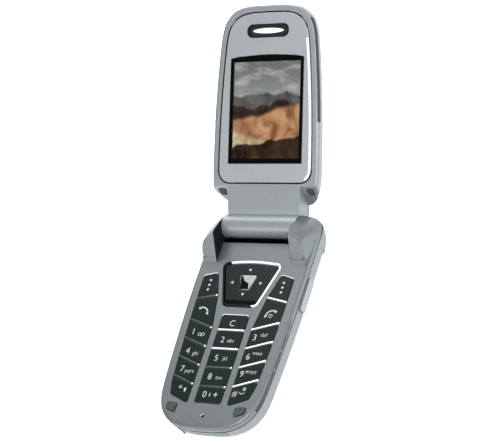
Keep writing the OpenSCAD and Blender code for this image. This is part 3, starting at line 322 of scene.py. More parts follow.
@dataclass(frozen=True)
class LitPicture(Finish):
    """Backlit colour display with a plain wallpaper: an evening sky over dark ridges and pale dunes."""

    glow: float = 0.9
    unlit: str = "#020202"
    sky: tuple[tuple[float, str], ...] = ((0.45, "#b3aa9c"), (0.7, "#8f9191"), (1.0, "#6f7374"))
    cloud: str = "#c9c8c2"
    ridges: tuple[Ridge, ...] = (
        Ridge(0.66, 0.07, 3.1, 1.7, "#4a4a4b", "#6d6a68"),
        Ridge(0.55, 0.10, 2.3, 5.2, "#1d1815", "#4b3629"),
        Ridge(0.40, 0.06, 1.7, 9.4, "#8a5a3a", "#d9a679", 0.02, 0.16),
        Ridge(0.27, 0.06, 1.3, 3.3, "#a98d63", "#e6d9b4", 0.02, -0.2),
        Ridge(0.13, 0.07, 2.2, 7.7, "#15100d", "#4d3727", 0.01, 0.1),
    )

    def sockets(self, add: Add, where: Outputs) -> Sockets:
        """Paint the sky, then each ridge over what lies behind it, and let the picture shine."""
        place = where["UV"]
        parts = add("ShaderNodeSeparateXYZ", {"Vector": place})
        sky = add("ShaderNodeValToRGB", {"Fac": parts["Y"]},
                  stops=[(level, linear(tint)) for level, tint in self.sky])
        drawn_out = add("ShaderNodeMapping", {"Vector": place, "Scale": (1.4, 4.5, 1.0)})
        clouds = add("ShaderNodeTexNoise", {"Vector": drawn_out["Vector"], "Scale": 2.2, "Detail": 6.0})
        veil = add("ShaderNodeMapRange",
                   {"Value": clouds["Fac"], "From Min": 0.48, "From Max": 0.7, "To Max": 0.8})
        picture = add("ShaderNodeMix", {0: veil["Result"], 6: sky["Color"], 7: linear(self.cloud)},
                      data_type="RGBA")
        for ridge in self.ridges:
            picture = self.paint_ridge(add, ridge, place, parts, picture)
        return {"Base Color": linear(self.unlit), "Roughness": 0.35, "Specular IOR Level": 0.05,
                "Emission Strength": self.glow, "Emission Color": picture[2]}

    @staticmethod
    def paint_ridge(add: Add, ridge: Ridge, place: bpy.types.NodeSocket, parts: Outputs,
                    behind: Outputs) -> Outputs:
        """Lay one ridge over the picture so far.

        Args:
            add: The function that adds a node to the material.
            ridge: The ridge's line and colours.
            place: The picture's own coordinates.
            parts: The coordinates across and up, each by itself.
            behind: The mix that gives the picture behind the ridge.

        Returns:
            The mix with the ridge in it.
        """
        across, up, _ = parts
        walk = add("ShaderNodeMath", {0: across, 1: ridge.seed}, operation="ADD")
        crest = add("ShaderNodeTexNoise", {"W": walk["Value"], "Scale": ridge.waves, "Detail": 5.0},
                    noise_dimensions="1D")
        swing = add("ShaderNodeMapRange", {"Value": crest["Fac"], "To Min": ridge.level - ridge.swing,
                                           "To Max": ridge.level + ridge.swing}, clamp=False)
        leant = add("ShaderNodeMath", {0: across, 1: ridge.lean, 2: swing["Result"]},
                    operation="MULTIPLY_ADD")
        depth = add("ShaderNodeMath", {0: leant["Value"], 1: up}, operation="SUBTRACT")
        cover = add("ShaderNodeMapRange",
                    {"Value": depth["Value"], "From Min": -ridge.soft, "From Max": ridge.soft})
        folds = add("ShaderNodeTexNoise", {"Vector": place, "Scale": 5.0, "Detail": 6.0, "Distortion": 0.8})
        lit = add("ShaderNodeMapRange", {"Value": folds["Fac"], "From Min": 0.35, "From Max": 0.65})
        tint = add("ShaderNodeMix", {0: lit["Result"], 6: linear(ridge.dark), 7: linear(ridge.light)},
                   data_type="RGBA")
        return add("ShaderNodeMix", {0: cover["Result"], 6: behind[2], 7: tint[2]}, data_type="RGBA")


@dataclass(frozen=True)
class CircuitLaminate(Finish):
    """Glass-epoxy board under green solder mask, with square fields of copper below it."""

    mask: str = "#1f6b4a"
    copper: str = "#2f8a5c"
    field: float = 1.6

    def sockets(self, add: Add, where: Outputs) -> Sockets:
        """Show the copper fields through the mask as a lighter green."""
        fields = add("ShaderNodeTexVoronoi", {"Vector": where["Object"], "Scale": per_mm(self.field)},
                     distance="CHEBYCHEV")
        part = add("ShaderNodeSeparateColor", {"Color": fields["Color"]})
        tone = add("ShaderNodeMix", {0: part["Red"], 6: linear(self.mask), 7: linear(self.copper)},
                   data_type="RGBA")
        return {"Base Color": tone[2], "Roughness": 0.35}


PANEL_PAINT = MetallicPaint("silver_lacquer_on_panel", "silver_paint", "#aaaeb0", "#999da0")
LID_PAINT = MetallicPaint("silver_lacquer_on_abs", "silver_paint", "#969b9e", "#868c8f")
BASE_PAINT = MetallicPaint("grey_lacquer_on_abs", "grey_paint", "#7a7f82", "#686e71", 0.65)
BACK_PAINT = MetallicPaint("grey_lacquer_rear", "rear_paint", "#8d9295", "#7b8184")
SIDE_PAINT = MetallicPaint("silver_lacquer_keys", "side_key_paint", "#9da1a4", "#8e9295")
CONFIRM = MetallicPaint("satin_chrome_on_abs", "confirm_metal", "#b9bdbf", "#a6abad", 0.5, 0.3)
# White that stands in for light: painted highlight on bars, frame, edges and beads, painted reflection on the
# earpiece
PAINTED_HIGHLIGHT = MetallicPaint("white_painted_highlight", "chrome_trim", "#ffffff", "#f0f2f3", 0.15, 0.3)
# Grey copy of it for the bars that lie in shade: painted shade
BAR_PAINTED_SHADE = MetallicPaint("grey_painted_shade", "chrome_trim", "#4f5657", "#414748", 0.15, 0.3)
# Darkened chrome: painted shade on the lower half of the navigation frame and on the earpiece ring
SHADED_CHROME = ChromePlate("chrome_darkened_as_painted_shade", "chrome_trim")
KEY_PLASTIC = MouldedPlastic("glossy_polycarbonate", "key_dark", "#14201f", "#0c1615", 0.28, depth=0.004,
                             coat=0.1, specular=0.3)
KEY_INK = PrintedInk("white_pad_print", "key_dark", "#cdd3d2", "#b4bcbb")
INLAY = MouldedPlastic("moulded_abs_inlay", "dark_inlay", "#2c3434", "#1e2525", 0.45)
# Dark grey for the groove along the lid's shoulder: painted shade
GROOVE_SHADE = MouldedPlastic("groove_painted_shade", "rear_paint", "#3a4243", "#2e3536", 0.5)
RUBBER = MouldedPlastic("moulded_rubber", "rubber_pad", "#3f4847", "#323a38", 0.75, depth=0.03)
# Black that stands in for shade in gaps, holes and on a slope turned from the light: painted shade
SHADE_BLACK = MouldedPlastic("black_painted_shade", "dark_inlay", "#070909", "#030404", 0.85, specular=0.1)
# Dark grey for the casing's seam line, and painted shade on the ears' inner walls
SEAM_AND_SHADE_DARK = MouldedPlastic("dark_seam_and_painted_shade", "dark_inlay", "#1d2627", "#121a1b", 0.6, specular=0.2)
MASK_INK = MouldedPlastic("black_screen_print", "clear_window", "#020303", "#010101", 0.5, depth=0.0,
                          specular=0.05)
OUTER_GLASS = MouldedPlastic("tinted_acrylic", "clear_window", "#101416", "#0b0e10", 0.12, depth=0.0,
                             coat=1.0)
MESH_BLACK = MouldedPlastic("black_speaker_cloth", "speaker_mesh", "#15181a", "#0a0c0d", 0.8, 0.3, 0.08)
LENS_BARREL = MouldedPlastic("black_anodised_barrel", "module_black", "#1b1e20", "#121416", 0.5)
SCREW_STEEL = BrushedMetal("blackened_screw_steel", "zinc_screw", "#5c6063", 0.4)
WINDOW = ClearAcrylic("hard_coated_acrylic", "clear_window")
PICTURE = LitPicture("lit_colour_display", "module_grey")
PAPER = PrintedInk("light_table_sheet", "stage", "#f7f8f8", "#f4f5f5", 0.9, 40.0, 0.7)
# Finishes of the CAD nodes that are shown as they are
INNER_FINISHES: dict[str, Finish] = {
    "keypad_mat": MouldedPlastic("silicone_mat", "silicone_mat", "#dadddf", "#cfd3d5", 0.6),
    "dome_sheet": MouldedPlastic("polyester_film", "polyester_film", "#eceeef", "#dfe2e4", 0.35),
    "main_board": CircuitLaminate("main_board_laminate", "circuit_board"),
    "lid_board": CircuitLaminate("lid_board_laminate", "circuit_board"),
    "shield_cans": BrushedMetal("tinned_steel", "tinned_steel", "#c4c8cb", 0.28),
    "battery_cell": MouldedPlastic("shrink_wrap", "battery_wrap", "#444a4d", "#35393c", 0.4),
    "battery_contacts": BrushedMetal("gold_plated_contact", "gold_contact", "#d9b45c"),
    "vibration_motor": BrushedMetal("drawn_motor_can", "module_grey", "#9a9da0"),
    "antenna": BrushedMetal("copper_plated_frame", "gold_contact", "#b98c4e", 0.35),
    "loudspeaker": MouldedPlastic("speaker_basket", "module_black", "#2f3335", "#222527", 0.5),
    "microphone": BrushedMetal("microphone_can", "gold_contact", "#a08a55"),
    "system_connector": BrushedMetal("stamped_connector_shell", "tinned_steel", "#b4b8bb"),
    "hinge_cam_pin": BrushedMetal("turned_pin_steel", "hinge_steel", "#a7abae"),
    "hinge_bush": BrushedMetal("turned_bush_steel", "hinge_steel", "#c0c4c7"),
    "hinge_cartridge": BrushedMetal("drawn_cartridge_steel", "hinge_steel", "#b7bbbe"),
    "hinge_flex": MouldedPlastic("polyimide_film", "flex_film", "#cf9242", "#b97c30"),
    "nav_actuator": BrushedMetal("pressed_rocker_steel", "hinge_steel", "#9aa0a3"),
    "display_module": MouldedPlastic("display_frame", "module_grey", "#626a6e", "#52585c", 0.4),
    "earpiece_speaker": MouldedPlastic("earpiece_basket", "module_black", "#383d3f", "#2c3032", 0.5),
    "outer_display": MouldedPlastic("outer_display_frame", "module_black", "#303436", "#25282a", 0.4),
}


# ---------------------------------------------------------------- mesh work


def in_scene(name: str, data: bpy.types.ID) -> bpy.types.Object:
    """Put something into the scene as an object.

    Args:
        name: Name of the object.
        data: Its mesh, light or camera.

    Returns:
        The object.
    """
    thing = bpy.data.objects.new(name, data)
    bpy.context.scene.collection.objects.link(thing)
    return thing


def sharp_edges(bm: Mesh) -> list[Edge]:
    """Edges at which the surface turns by more than 32 degrees."""
    limit = math.radians(32)
    return [edge for edge in bm.edges if len(edge.link_faces) == 2 and edge.calc_face_angle() > limit]


def summit(bm: Mesh) -> float:
    """Height of a mesh's highest point."""
    return max(vert.co.z for vert in bm.verts)


def rims(bm: Mesh) -> list[Edge]:
    """Edges round the flat faces at the top of a mesh."""
    level = summit(bm) - 0.02
    return [edge for edge in sharp_edges(bm) if all(vert.co.z > level for vert in edge.verts)]


def round_off(bm: Mesh, edges: Iterable[Edge], width: float, segments: int = 2) -> None:
    """Round edges over.

    Args:
        bm: The mesh.
        edges: The edges to round.
        width: How far the rounding reaches from each edge.
        segments: Number of strips across the rounding.
    """
    bmesh.ops.bevel(bm, geom=list(edges), offset=width, offset_type="OFFSET", segments=segments,
                    profile=0.5, affect="EDGES", clamp_overlap=False, material=-1)


def keep(bm: Mesh, wanted: Callable[[Face, Vector], bool]) -> None:
    """Delete the faces of a mesh that a test of face and middle turns down."""
    others = [face for face in bm.faces if not wanted(face, face.calc_center_median())]
    bmesh.ops.delete(bm, geom=others, context="FACES")


def keep_top(bm: Mesh, slack: float = 0.02) -> None:
    """Keep only the flat faces at the top of a mesh, give or take a slack."""
    level = summit(bm) - slack
    keep(bm, lambda face, middle: face.normal.z >= 0.9 and middle.z >= level)


def cut(bm: Mesh, point: Sequence[float], normal: Sequence[float], **clear: bool) -> list[Edge]:
    """Cut a mesh along a plane.

    Args:
        bm: The mesh.
        point: A point of the plane.
        normal: Its direction.
        clear: The side to take away, clear_outer or clear_inner.

    Returns:
        The edges along the cut.
    """
    everything = bm.verts[:] + bm.edges[:] + bm.faces[:]
    found = bmesh.ops.bisect_plane(bm, geom=everything, dist=0.0001, plane_co=point, plane_no=normal, **clear)
    return [item for item in found["geom_cut"] if isinstance(item, Edge)]


def thicken(bm: Mesh, thickness: float = SHEET) -> None:
    """Give a sheet one thickness all over."""
    bmesh.ops.solidify(bm, geom=bm.faces[:], thickness=thickness)
    bmesh.ops.recalc_face_normals(bm, faces=bm.faces)


def draw_out(bm: Mesh, shift: Callable[[Vector], Vector]) -> None:
    """Draw a sheet out into a solid.

    Args:
        bm: The sheet.
        shift: The way that a point is moved, by its place.
    """
    for item in bmesh.ops.extrude_face_region(bm, geom=bm.faces[:])["geom"]:
        if isinstance(item, bmesh.types.BMVert):
            item.co += shift(item.co)
    bmesh.ops.recalc_face_normals(bm, faces=bm.faces)


def shift_all(bm: Mesh, x: float, y: float, z: float) -> None:
    """Move a whole mesh."""
    bmesh.ops.translate(bm, vec=(x, y, z), verts=bm.verts)


def add_copy(bm: Mesh, other: Mesh, matrix: Matrix) -> None:
    """Put a mesh into another one.

    Args:
        bm: The mesh that takes it in.
        other: The mesh that is put in, which is used up.
        matrix: Where it goes.
    """
    bmesh.ops.transform(other, matrix=matrix, verts=other.verts)
    mesh = bpy.data.meshes.new("part")
    other.to_mesh(mesh)
    other.free()
    bm.from_mesh(mesh)
    bpy.data.meshes.remove(mesh)


def box_of(node: str) -> tuple[Vector, Vector]:
    """Lowest and highest corner of a CAD node."""
    low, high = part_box(node)
    return low / MM, high / MM


@dataclass
class Assembly:
    """A sub-assembly: the frame that its pieces are modelled in, and the body that most of them ride on."""

    place: Place
    body: str

    def build(self) -> None:
        """Make every piece of the sub-assembly."""
        raise NotImplementedError

    def copy(self, node: str) -> Mesh:
        """Copy a CAD node's mesh, its points merged and its flat faces whole.

        Args:
            node: The CAD node.

        Returns:
            The copy, in this sub-assembly's millimetres.
        """
        bm = bmesh.new()
        bm.from_mesh(frame["nodes"][node].data)
        bmesh.ops.transform(bm, matrix=self.place.value.inverted(), verts=bm.verts)
        bmesh.ops.remove_doubles(bm, verts=bm.verts, dist=0.002)
        bmesh.ops.dissolve_limit(bm, angle_limit=math.radians(0.5), verts=bm.verts[:], edges=bm.edges[:])
        return bm

    def fit(self, bm: Mesh, name: str, finish: Finish, *nodes: str, body: str | None = None,
            crease: float = 35, even: bool = False) -> None:
        """Turn a finished mesh into a piece of the phone.

        Args:
            bm: The mesh, which is used up.
            name: Name of the piece.
            finish: Its finish.
            nodes: The CAD nodes that it replaces.
            body: The body that it rides on, if it isn't the sub-assembly's.
            crease: Angle in degrees above which an edge stays sharp.
            even: Let large faces set the shading, so that flats stay flat beside their rounded edges.
        """
        body = body or self.body
        limit = math.radians(crease)
        for face in bm.faces:
            face.smooth = True
        for edge in bm.edges:
            edge.smooth = len(edge.link_faces) == 2 and edge.calc_face_angle() < limit
        bmesh.ops.transform(bm, matrix=self.place.value, verts=bm.verts)
        mesh = bpy.data.meshes.new(name)
        bm.to_mesh(mesh)
        bm.free()
        mesh.materials.append(material_of(finish))
        piece = in_scene(name, mesh)
        if even:
            piece.modifiers.new("even_shading", "WEIGHTED_NORMAL").keep_sharp = True
        if nodes:
            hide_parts(*nodes)
        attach(piece, body)
        LOG.info("%s rides on %s", piece.name, body)

    def refined(self, node: str, finish: Finish, width: float, segments: int = 2, body: str | None = None,
                name: str | None = None, top: bool = False) -> None:
        """Make the stand-in for a CAD node, its edges broken by a small rounding.

        Args:
            node: The CAD node.
            finish: Its finish.
            width: Reach of the rounding. Outer edges shorter than twice this are left alone.
            segments: Strips across the rounding.
            body: The body that it rides on, if it isn't the sub-assembly's.
            name: Name of the piece, if it isn't the node's with "_skin".
            top: Round the edge of the flat top and no other.
        """
        bm = self.copy(node)
        outer = [edge for edge in sharp_edges(bm) if edge.is_convex and edge.calc_length() > 2 * width]
        round_off(bm, rims(bm) if top else outer, width, segments)
        self.fit(bm, name or node + "_skin", finish, node, body=body, even=True)


class Print:
    """Flat printed marks that lie on one face and become one thin film."""

    capital = 0.73  # height of a capital as a share of the font's size
    thin = 0.03  # how much the strokes are drawn in
    sunk = 0.012
    proud = 0.012

    def __init__(self) -> None:
        """Start with a bare face."""
        self.bm = bmesh.new()

    def put(self, mark: Mesh, x: float, y: float, turn: float = 0) -> None:
        """Add a flat mark.

        Args:
            mark: The mark's mesh, around its own origin.
            x: Its place across.
            y: Its place along.
            turn: Its turn in degrees.
        """
        add_copy(self.bm, mark, Matrix.Translation((x, y, 0)) @ Matrix.Rotation(math.radians(turn), 4, "Z"))

    def text(self, x: float, y: float, words: str, size: float) -> None:
        """Add letters or digits.

        Args:
            x: Middle across.
            y: Middle of the capitals along.
            words: What to print.
            size: Height of the capitals.
        """
        curve = bpy.data.curves.new("text", "FONT")
        curve.body = words
        curve.size = size / self.capital
        curve.offset = -self.thin
        curve.resolution_u = 3
        source = bpy.data.objects.new("text", curve)
        mark = bmesh.new()
        mark.from_mesh(source.to_mesh())
        source.to_mesh_clear()
        bpy.data.objects.remove(source)
        bpy.data.curves.remove(curve)
        places = [vert.co.x for vert in mark.verts]
        shift_all(mark, -(min(places) + max(places)) / 2, -size / 2, 0)
        self.put(mark, x, y)

    def dot(self, x: float, y: float, radius: float, sides: int = 20, turn: float = 0) -> None:
        """Add a filled circle, or a polygon with few sides.

        Args:
            x: Middle across.
            y: Middle along.
            radius: Its radius.
            sides: Number of its sides.
            turn: Its turn in degrees.
        """
        mark = bmesh.new()
        bmesh.ops.create_circle(mark, cap_ends=True, segments=sides, radius=radius)
        self.put(mark, x, y, turn)

    def arc(self, x: float, y: float, radius: float, width: float, start: float, sweep: float) -> None:
        """Add part of a ring.

        Args:
            x: Centre across.
            y: Centre along.
            radius: Middle radius.
            width: Width of the line.
            start: Angle at which it begins, in degrees.
            sweep: Angle that it covers.
        """
        mark = bmesh.new()
        ends = [mark.verts.new((radius + k * width / 2, 0, 0)) for k in (-1, 1)]
        line = mark.edges.new(ends)
        bmesh.ops.spin(mark, geom=[*ends, line], cent=(0, 0, 0), axis=(0, 0, 1),
                       angle=math.radians(sweep), steps=max(4, round(sweep / 12)), use_merge=sweep >= 360)
        self.put(mark, x, y, start)

    def bar(self, x: float, y: float, length: float, width: float, turn: float = 0) -> None:
        """Add a straight line.

        Args:
            x: Middle across.
            y: Middle along.
            length: Its length, which runs across before the turn.
            width: Its width.
            turn: Its turn in degrees.
        """
        mark = bmesh.new()
        bmesh.ops.create_grid(mark, x_segments=1, y_segments=1, size=0.5)
        bmesh.ops.scale(mark, vec=(length, width, 1), verts=mark.verts)
        self.put(mark, x, y, turn)

    def handset(self, x: float, y: float, turn: float) -> None:
        """Add a telephone receiver, its hollow side down before the turn.

        Args:
            x: Middle across.
            y: Middle along.
            turn: Its turn in degrees.
        """
        length, radius, width = 5.0, 3.1, 0.5
        cap, cap_in, cap_angle = (1.3, 0.95), 0.2, 5
        half = math.degrees(math.asin(length / 2 / radius)) - cap_angle
        sunk = Matrix.Rotation(math.radians(turn), 4, "Z") @ Vector((0, width - radius, 0))
        spot = Vector((x, y, 0)) + sunk
        self.arc(spot.x, spot.y, radius, width, 90 - half + turn, 2 * half)
        for side in (-1, 1):
            end = Matrix.Rotation(math.radians(turn - side * half), 4, "Z") @ Vector((0, radius - cap_in, 0))
            self.bar(spot.x + end.x, spot.y + end.y, *cap, turn - side * half)

    def shape(self, points: Sequence[tuple[float, float]]) -> None:
        """Add a filled polygon.

        Args:
            points: Its corners in order.
        """
        mark = bmesh.new()
        mark.faces.new([mark.verts.new((x, y, 0)) for x, y in points])
        self.put(mark, 0, 0)

    def film(self, level: float) -> Mesh:
        """Turn the marks into a thin film.

        Args:
            level: Height of the face that they lie on.

        Returns:
            The film.
        """
        for face in self.bm.faces:
            if face.normal.z < 0:
                face.normal_flip()
        draw_out(self.bm, lambda place: Vector((0, 0, self.sunk + self.proud)))
        shift_all(self.bm, 0, 0, level - self.sunk)
        return self.bm


# ---------------------------------------------------------------- base


@dataclass
class BaseShell(Assembly):
    """Painted casing of the keypad half, with its cover, flap, side keys and fixed trim."""

    edge: float = 0.12
    trim_edge: float = 0.08
    pad_edge: float = 0.2
    key_edge: float = 0.35
    ear_in: float = 17.5
    trough_r: float = 5.6
    lining_t: float = 0.06
    # Reach and sweep of the black strip of painted shade at the trough
    shade_reach: float = 1.5
    shade_sweep: float = 40
    seam_h: float = 0.35
    seam_z: float = 8
    face_z: float = 11.0
    middle: tuple[float, float, float] = (0, -2, 0)
    core_r: float = 10
    mic_r: float = 0.62
    mic_line_w: float = 0.22
    mic_line_gap: float = 0.14
    mic_glint: tuple[float, float] = (80, 110)  # where the bright arc starts, and its sweep
    # The dark ring of painted shade round the rubber pads
    shade_ring_w: float = 0.35
    shade_ring_lift: float = 0.03

    def build(self) -> None:
        """Make the casing, what moves in it, and its trim."""
        self.refined("front_case", BASE_PAINT, self.edge)
        self.refined("rear_case", BACK_PAINT, self.edge)
        self.refined("battery_cover", BACK_PAINT, self.edge, body="cover")
        self.refined("connector_flap", BASE_PAINT, self.edge, body="flap")
        self.refined("side_trim", INLAY, self.trim_edge)
        self.refined("base_bumpers", RUBBER, self.pad_edge, 3)
        self.refined("case_screws", SCREW_STEEL, self.trim_edge)
        self.refined("side_key", SIDE_PAINT, self.key_edge, 3, "side")
        self.refined("volume_key", SIDE_PAINT, self.key_edge, 3, "volume")
        self.ear_wall_shade()
        self.hinge_gap_shade()
        self.seam()
        self.microphone_mark()
        self.bumper_gap_shade()

    def microphone_mark(self) -> None:
        """Paint shade into the microphone's hole in black, and a painted highlight on one side of its edge.
        """
        low, high = box_of("microphone")
        x, y, _ = (low + high) / 2
        hole = Print()
        hole.dot(x, y, self.mic_r, 24)
        self.fit(hole.film(self.face_z), "microphone_hole_shade", SHADE_BLACK)
        edge = Print()
        edge.arc(x, y, self.mic_r + self.mic_line_gap, self.mic_line_w, *self.mic_glint)
        self.fit(edge.film(self.face_z), "microphone_edge_highlight", PAINTED_HIGHLIGHT)

    def bumper_gap_shade(self) -> None:
        """Lay a dark ring of painted shade round the rubber pads, in the gap between them and the casing."""
        bm = self.copy("base_bumpers")
        keep_top(bm, 0.1)
        for side in (-1, 1):
            pad = [vert for vert in bm.verts if vert.co.x * side > 0]
            middle = sum((vert.co for vert in pad), Vector()) / len(pad)
            for vert in pad:
                vert.co += (vert.co - middle).xy.normalized().to_3d() * self.shade_ring_w
                vert.co.z = self.face_z + self.shade_ring_lift
        thicken(bm)
        self.fit(bm, "bumper_gap_shade", SHADE_BLACK)

    def seam(self) -> None:
        """Draw the dark line of the seam between the two casings, on the outer walls only."""
        bm = self.copy("front_case")
        cut(bm, (0, 0, self.seam_z + self.seam_h), (0, 0, 1), clear_outer=True)
        cut(bm, (0, 0, self.seam_z), (0, 0, -1), clear_outer=True)
        core = Vector(self.middle)
        keep(bm, lambda face, middle: abs(face.normal.z) <= 0.5
             and face.normal.xy.dot((middle - core).xy) >= self.core_r * face.normal.xy.length)
        draw_out(bm, lambda place: (place - core).xy.to_3d().normalized() * self.lining_t)
        self.fit(bm, "case_seam", SEAM_AND_SHADE_DARK)

    def ear_wall_shade(self) -> None:
        """Line the inner walls of the ears, between which the barrel turns, with a dark sheet of painted
        shade.
        """
        bm = self.copy("front_case")
        keep(bm, lambda face, middle: abs(face.normal.x) >= 0.99 and abs(abs(middle.x) - self.ear_in) <= 0.1)
        draw_out(bm, lambda place: Vector((-math.copysign(self.lining_t, place.x), 0, 0)))
        self.fit(bm, "ear_wall_shade", SEAM_AND_SHADE_DARK)

    def hinge_gap_shade(self) -> None:
        """Lay a black strip of painted shade along the front edge of the trough, from the face down into the
        trough.
        """
        hinge = Vector(HINGE["pos_m"]) / MM
        case = self.copy("front_case")
        lip = max((vert.co.copy() for vert in case.verts if vert.co.y < hinge.y - self.trough_r / 2
                   and abs((vert.co.yz - hinge.yz).length - self.trough_r) < 0.03), key=lambda co: co.z)
        case.free()
        half = self.ear_in - self.lining_t
        bm = bmesh.new()
        ends = [bm.verts.new((side * half, lip.y, lip.z)) for side in (-1, 1)]
        edge = bm.edges.new(ends)
        bmesh.ops.spin(bm, geom=[*ends, edge], cent=hinge, axis=(1, 0, 0),
                       angle=math.radians(self.shade_sweep), steps=8)
        for item in bmesh.ops.extrude_edge_only(bm, edges=[edge])["geom"]:
            if isinstance(item, bmesh.types.BMVert):
                item.co.y -= self.shade_reach
        bmesh.ops.recalc_face_normals(bm, faces=bm.faces)
        thicken(bm, self.lining_t)
        self.fit(bm, "hinge_gap_shade", SHADE_BLACK)


@dataclass(frozen=True)
class Mark:
    """A printed mark: how it is drawn, its middle across and from the hinge, and its words or sizes."""

    draw: Callable[..., None]
    x: float
    from_hinge: float
    traits: tuple[str | float, ...]

    def put_on(self, ink: Print) -> None:
        """Draw the mark."""
        self.draw(ink, self.x, HINGE_Y - self.from_hinge, *self.traits)


def digit(words: str, x: float, from_hinge: float) -> Mark:
    """A digit or a capital on a key."""
    return Mark(Print.text, x, from_hinge, (words, 2.8))


def letters(words: str, x: float, from_hinge: float) -> Mark:
    """The small letters beside a digit, whose middle is lower than that of their capitals."""
    size = 1.8
    return Mark(Print.text, x, from_hinge - 0.14 * size, (words, size))


def menu_dots(x: float) -> tuple[Mark, ...]:
    """The three dots on a soft key."""
    return tuple(Mark(Print.dot, x, 27.0 + 2.15 * step, (0.5,)) for step in (1, 0, -1))


@dataclass(frozen=True)
class Key:
    """One key with its body and what is printed on it."""

    node: str
    body: str
    marks: tuple[Mark, ...] = ()


@dataclass
class Keypad(Assembly):
    """Glossy keys with their printing, and the bars between them, coloured with painted highlight and painted
    shade.
    """

    keys: tuple[Key, ...] = (
        Key("key_1", "digit_1", (digit("1", -17.0, 48.3), Mark(Print.arc, -13.8, 49.5, (0.62, 0.22, 0, 360)),
                                 Mark(Print.arc, -12.2, 49.5, (0.62, 0.22, 0, 360)),
                                 Mark(Print.bar, -13.0, 50.1, (1.6, 0.2)))),
        Key("key_2", "digit_2", (digit("2", -2.3, 51.2), letters("abc", 1.6, 51.7))),
        Key("key_3", "digit_3", (digit("3", 11.9, 49.4), letters("def", 15.8, 48.5))),
        Key("key_4", "digit_4", (digit("4", -16.6, 56.9), letters("ghi", -12.8, 58.1))),
        Key("key_5", "digit_5", (digit("5", -2.4, 59.3), letters("jkl", 1.5, 59.7))),
        Key("key_6", "digit_6", (digit("6", 11.7, 57.9), letters("mno", 15.5, 56.5))),
        Key("key_7", "digit_7", (digit("7", -16.3, 64.9), letters("pqrs", -12.7, 65.9))),
        Key("key_8", "digit_8", (digit("8", -2.5, 67.5), letters("tuv", 1.7, 68.0))),
        Key("key_9", "digit_9", (digit("9", 11.4, 65.5), letters("wxyz", 15.2, 64.5))),
        Key("key_star", "star", (digit("*", -14.3, 73.4), Mark(Print.dot, -11.9, 73.7, (0.8, 3, 90)),
                                 Mark(Print.bar, -11.9, 74.5, (0.55, 0.8)))),
        Key("key_0", "digit_0", (digit("0", -2.3, 75.2), Mark(Print.bar, 0.1, 75.4, (0.4, 1.4)),
                                 Mark(Print.bar, 2.7, 75.2, (1.8, 0.34)),
                                 Mark(Print.bar, 2.7, 75.2, (0.34, 1.8)))),
        Key("key_hash", "hash", (digit("#", 11.1, 74.0), Mark(Print.arc, 14.1, 72.9, (1.2, 0.26, 200, 140)),
                                 Mark(Print.arc, 14.8, 72.0, (0.62, 0.22, 0, 360)),
                                 Mark(Print.dot, 14.8, 72.0, (0.25,)))),
        Key("clear_key", "clear", (digit("C", -0.3, 43.8),)),
        Key("soft_key_left", "soft_left", menu_dots(-17.1)),
        Key("soft_key_right", "soft_right", menu_dots(17.1)),
        Key("send_key", "send"), Key("end_key", "end"),
    )
    corner: float = 0.32
    handset_turn: float = 28.5
    handset_lift: float = 0.6
    power_at: tuple[float, float] = (0.6, -1.0)
    power_r: float = 0.75
    power_line: float = 0.2
    power_arc: tuple[float, float] = (120, 300)  # where the ring starts, and its sweep
    power_rise: float = 0.5
    power_stroke: float = 0.9
    # Keys that get a painted highlight on their upper edge
    topmost: tuple[str, ...] = ("soft_key_left", "soft_key_right", "clear_key")
    glint_w: float = 0.28
    glint_reach: float = 1.9
    glint_lift: float = 0.02
    glint_t: float = 0.03
    bar_edge: float = 0.1
    # Where the bars painted with highlight lie; the rest get painted shade
    bright_x: float = 8
    bright_from_hinge: float = 56
    bead_r: float = 0.42
    bead_flat: float = 0.45
    bead_in: float = 0.3
    bead_sunk: float = 0.03

    def build(self) -> None:
        """Make the keys, their printing and the bars."""
        for key in self.keys:
            self.refined(key.node, KEY_PLASTIC, self.corner, 4, key.body, key.node + "_cap", top=True)
            if key.node in self.topmost:
                self.glint(key)
            self.printing(key)
        self.bars("bright_bars", True, PAINTED_HIGHLIGHT)
        self.bars("shaded_bars", False, BAR_PAINTED_SHADE)

    def glint(self, key: Key) -> None:
        """Lay a painted highlight along the upper edge of a key.

        Args:
            key: The key.
        """
        bm = self.copy(key.node)
        high = max(vert.co.y for vert in bm.verts)
        keep_top(bm)
        area = bm.faces[:][0].calc_area() / 2
        bmesh.ops.inset_region(bm, faces=bm.faces[:], thickness=self.glint_w, use_boundary=True,
                               use_even_offset=True)
        keep(bm, lambda face, middle: middle.y >= high - self.glint_reach and face.calc_area() <= area)
        shift_all(bm, 0, 0, self.glint_lift)
        thicken(bm, self.glint_t)
        self.fit(bm, key.node + "_glint", PAINTED_HIGHLIGHT, body=key.body)

    def bars(self, name: str, bright: bool, finish: Finish) -> None:
        """Make the bars of one finish: those painted with highlight are on the right and round the upper
        middle keys, the rest with painted shade.

        Args:
            name: Name of the piece.
            bright: Which of the bars it keeps, those painted with highlight or those painted with shade.
            finish: Their finish.
        """
        bm = self.copy("key_dividers")
        other = [vert for vert in bm.verts if self.is_bright(vert.co) != bright]
        bmesh.ops.delete(bm, geom=other, context="VERTS")
        if not bright:
            self.end_highlights(bm)
        round_off(bm, rims(bm), self.bar_edge, 3)
        self.fit(bm, name, finish, "key_dividers", crease=50)

    def is_bright(self, place: Vector) -> bool:
        """Say whether a place lies in one of the bars painted with highlight."""
        return place.x > self.bright_x or (abs(place.x) < self.bright_x
                                           and HINGE_Y - place.y < self.bright_from_hinge)

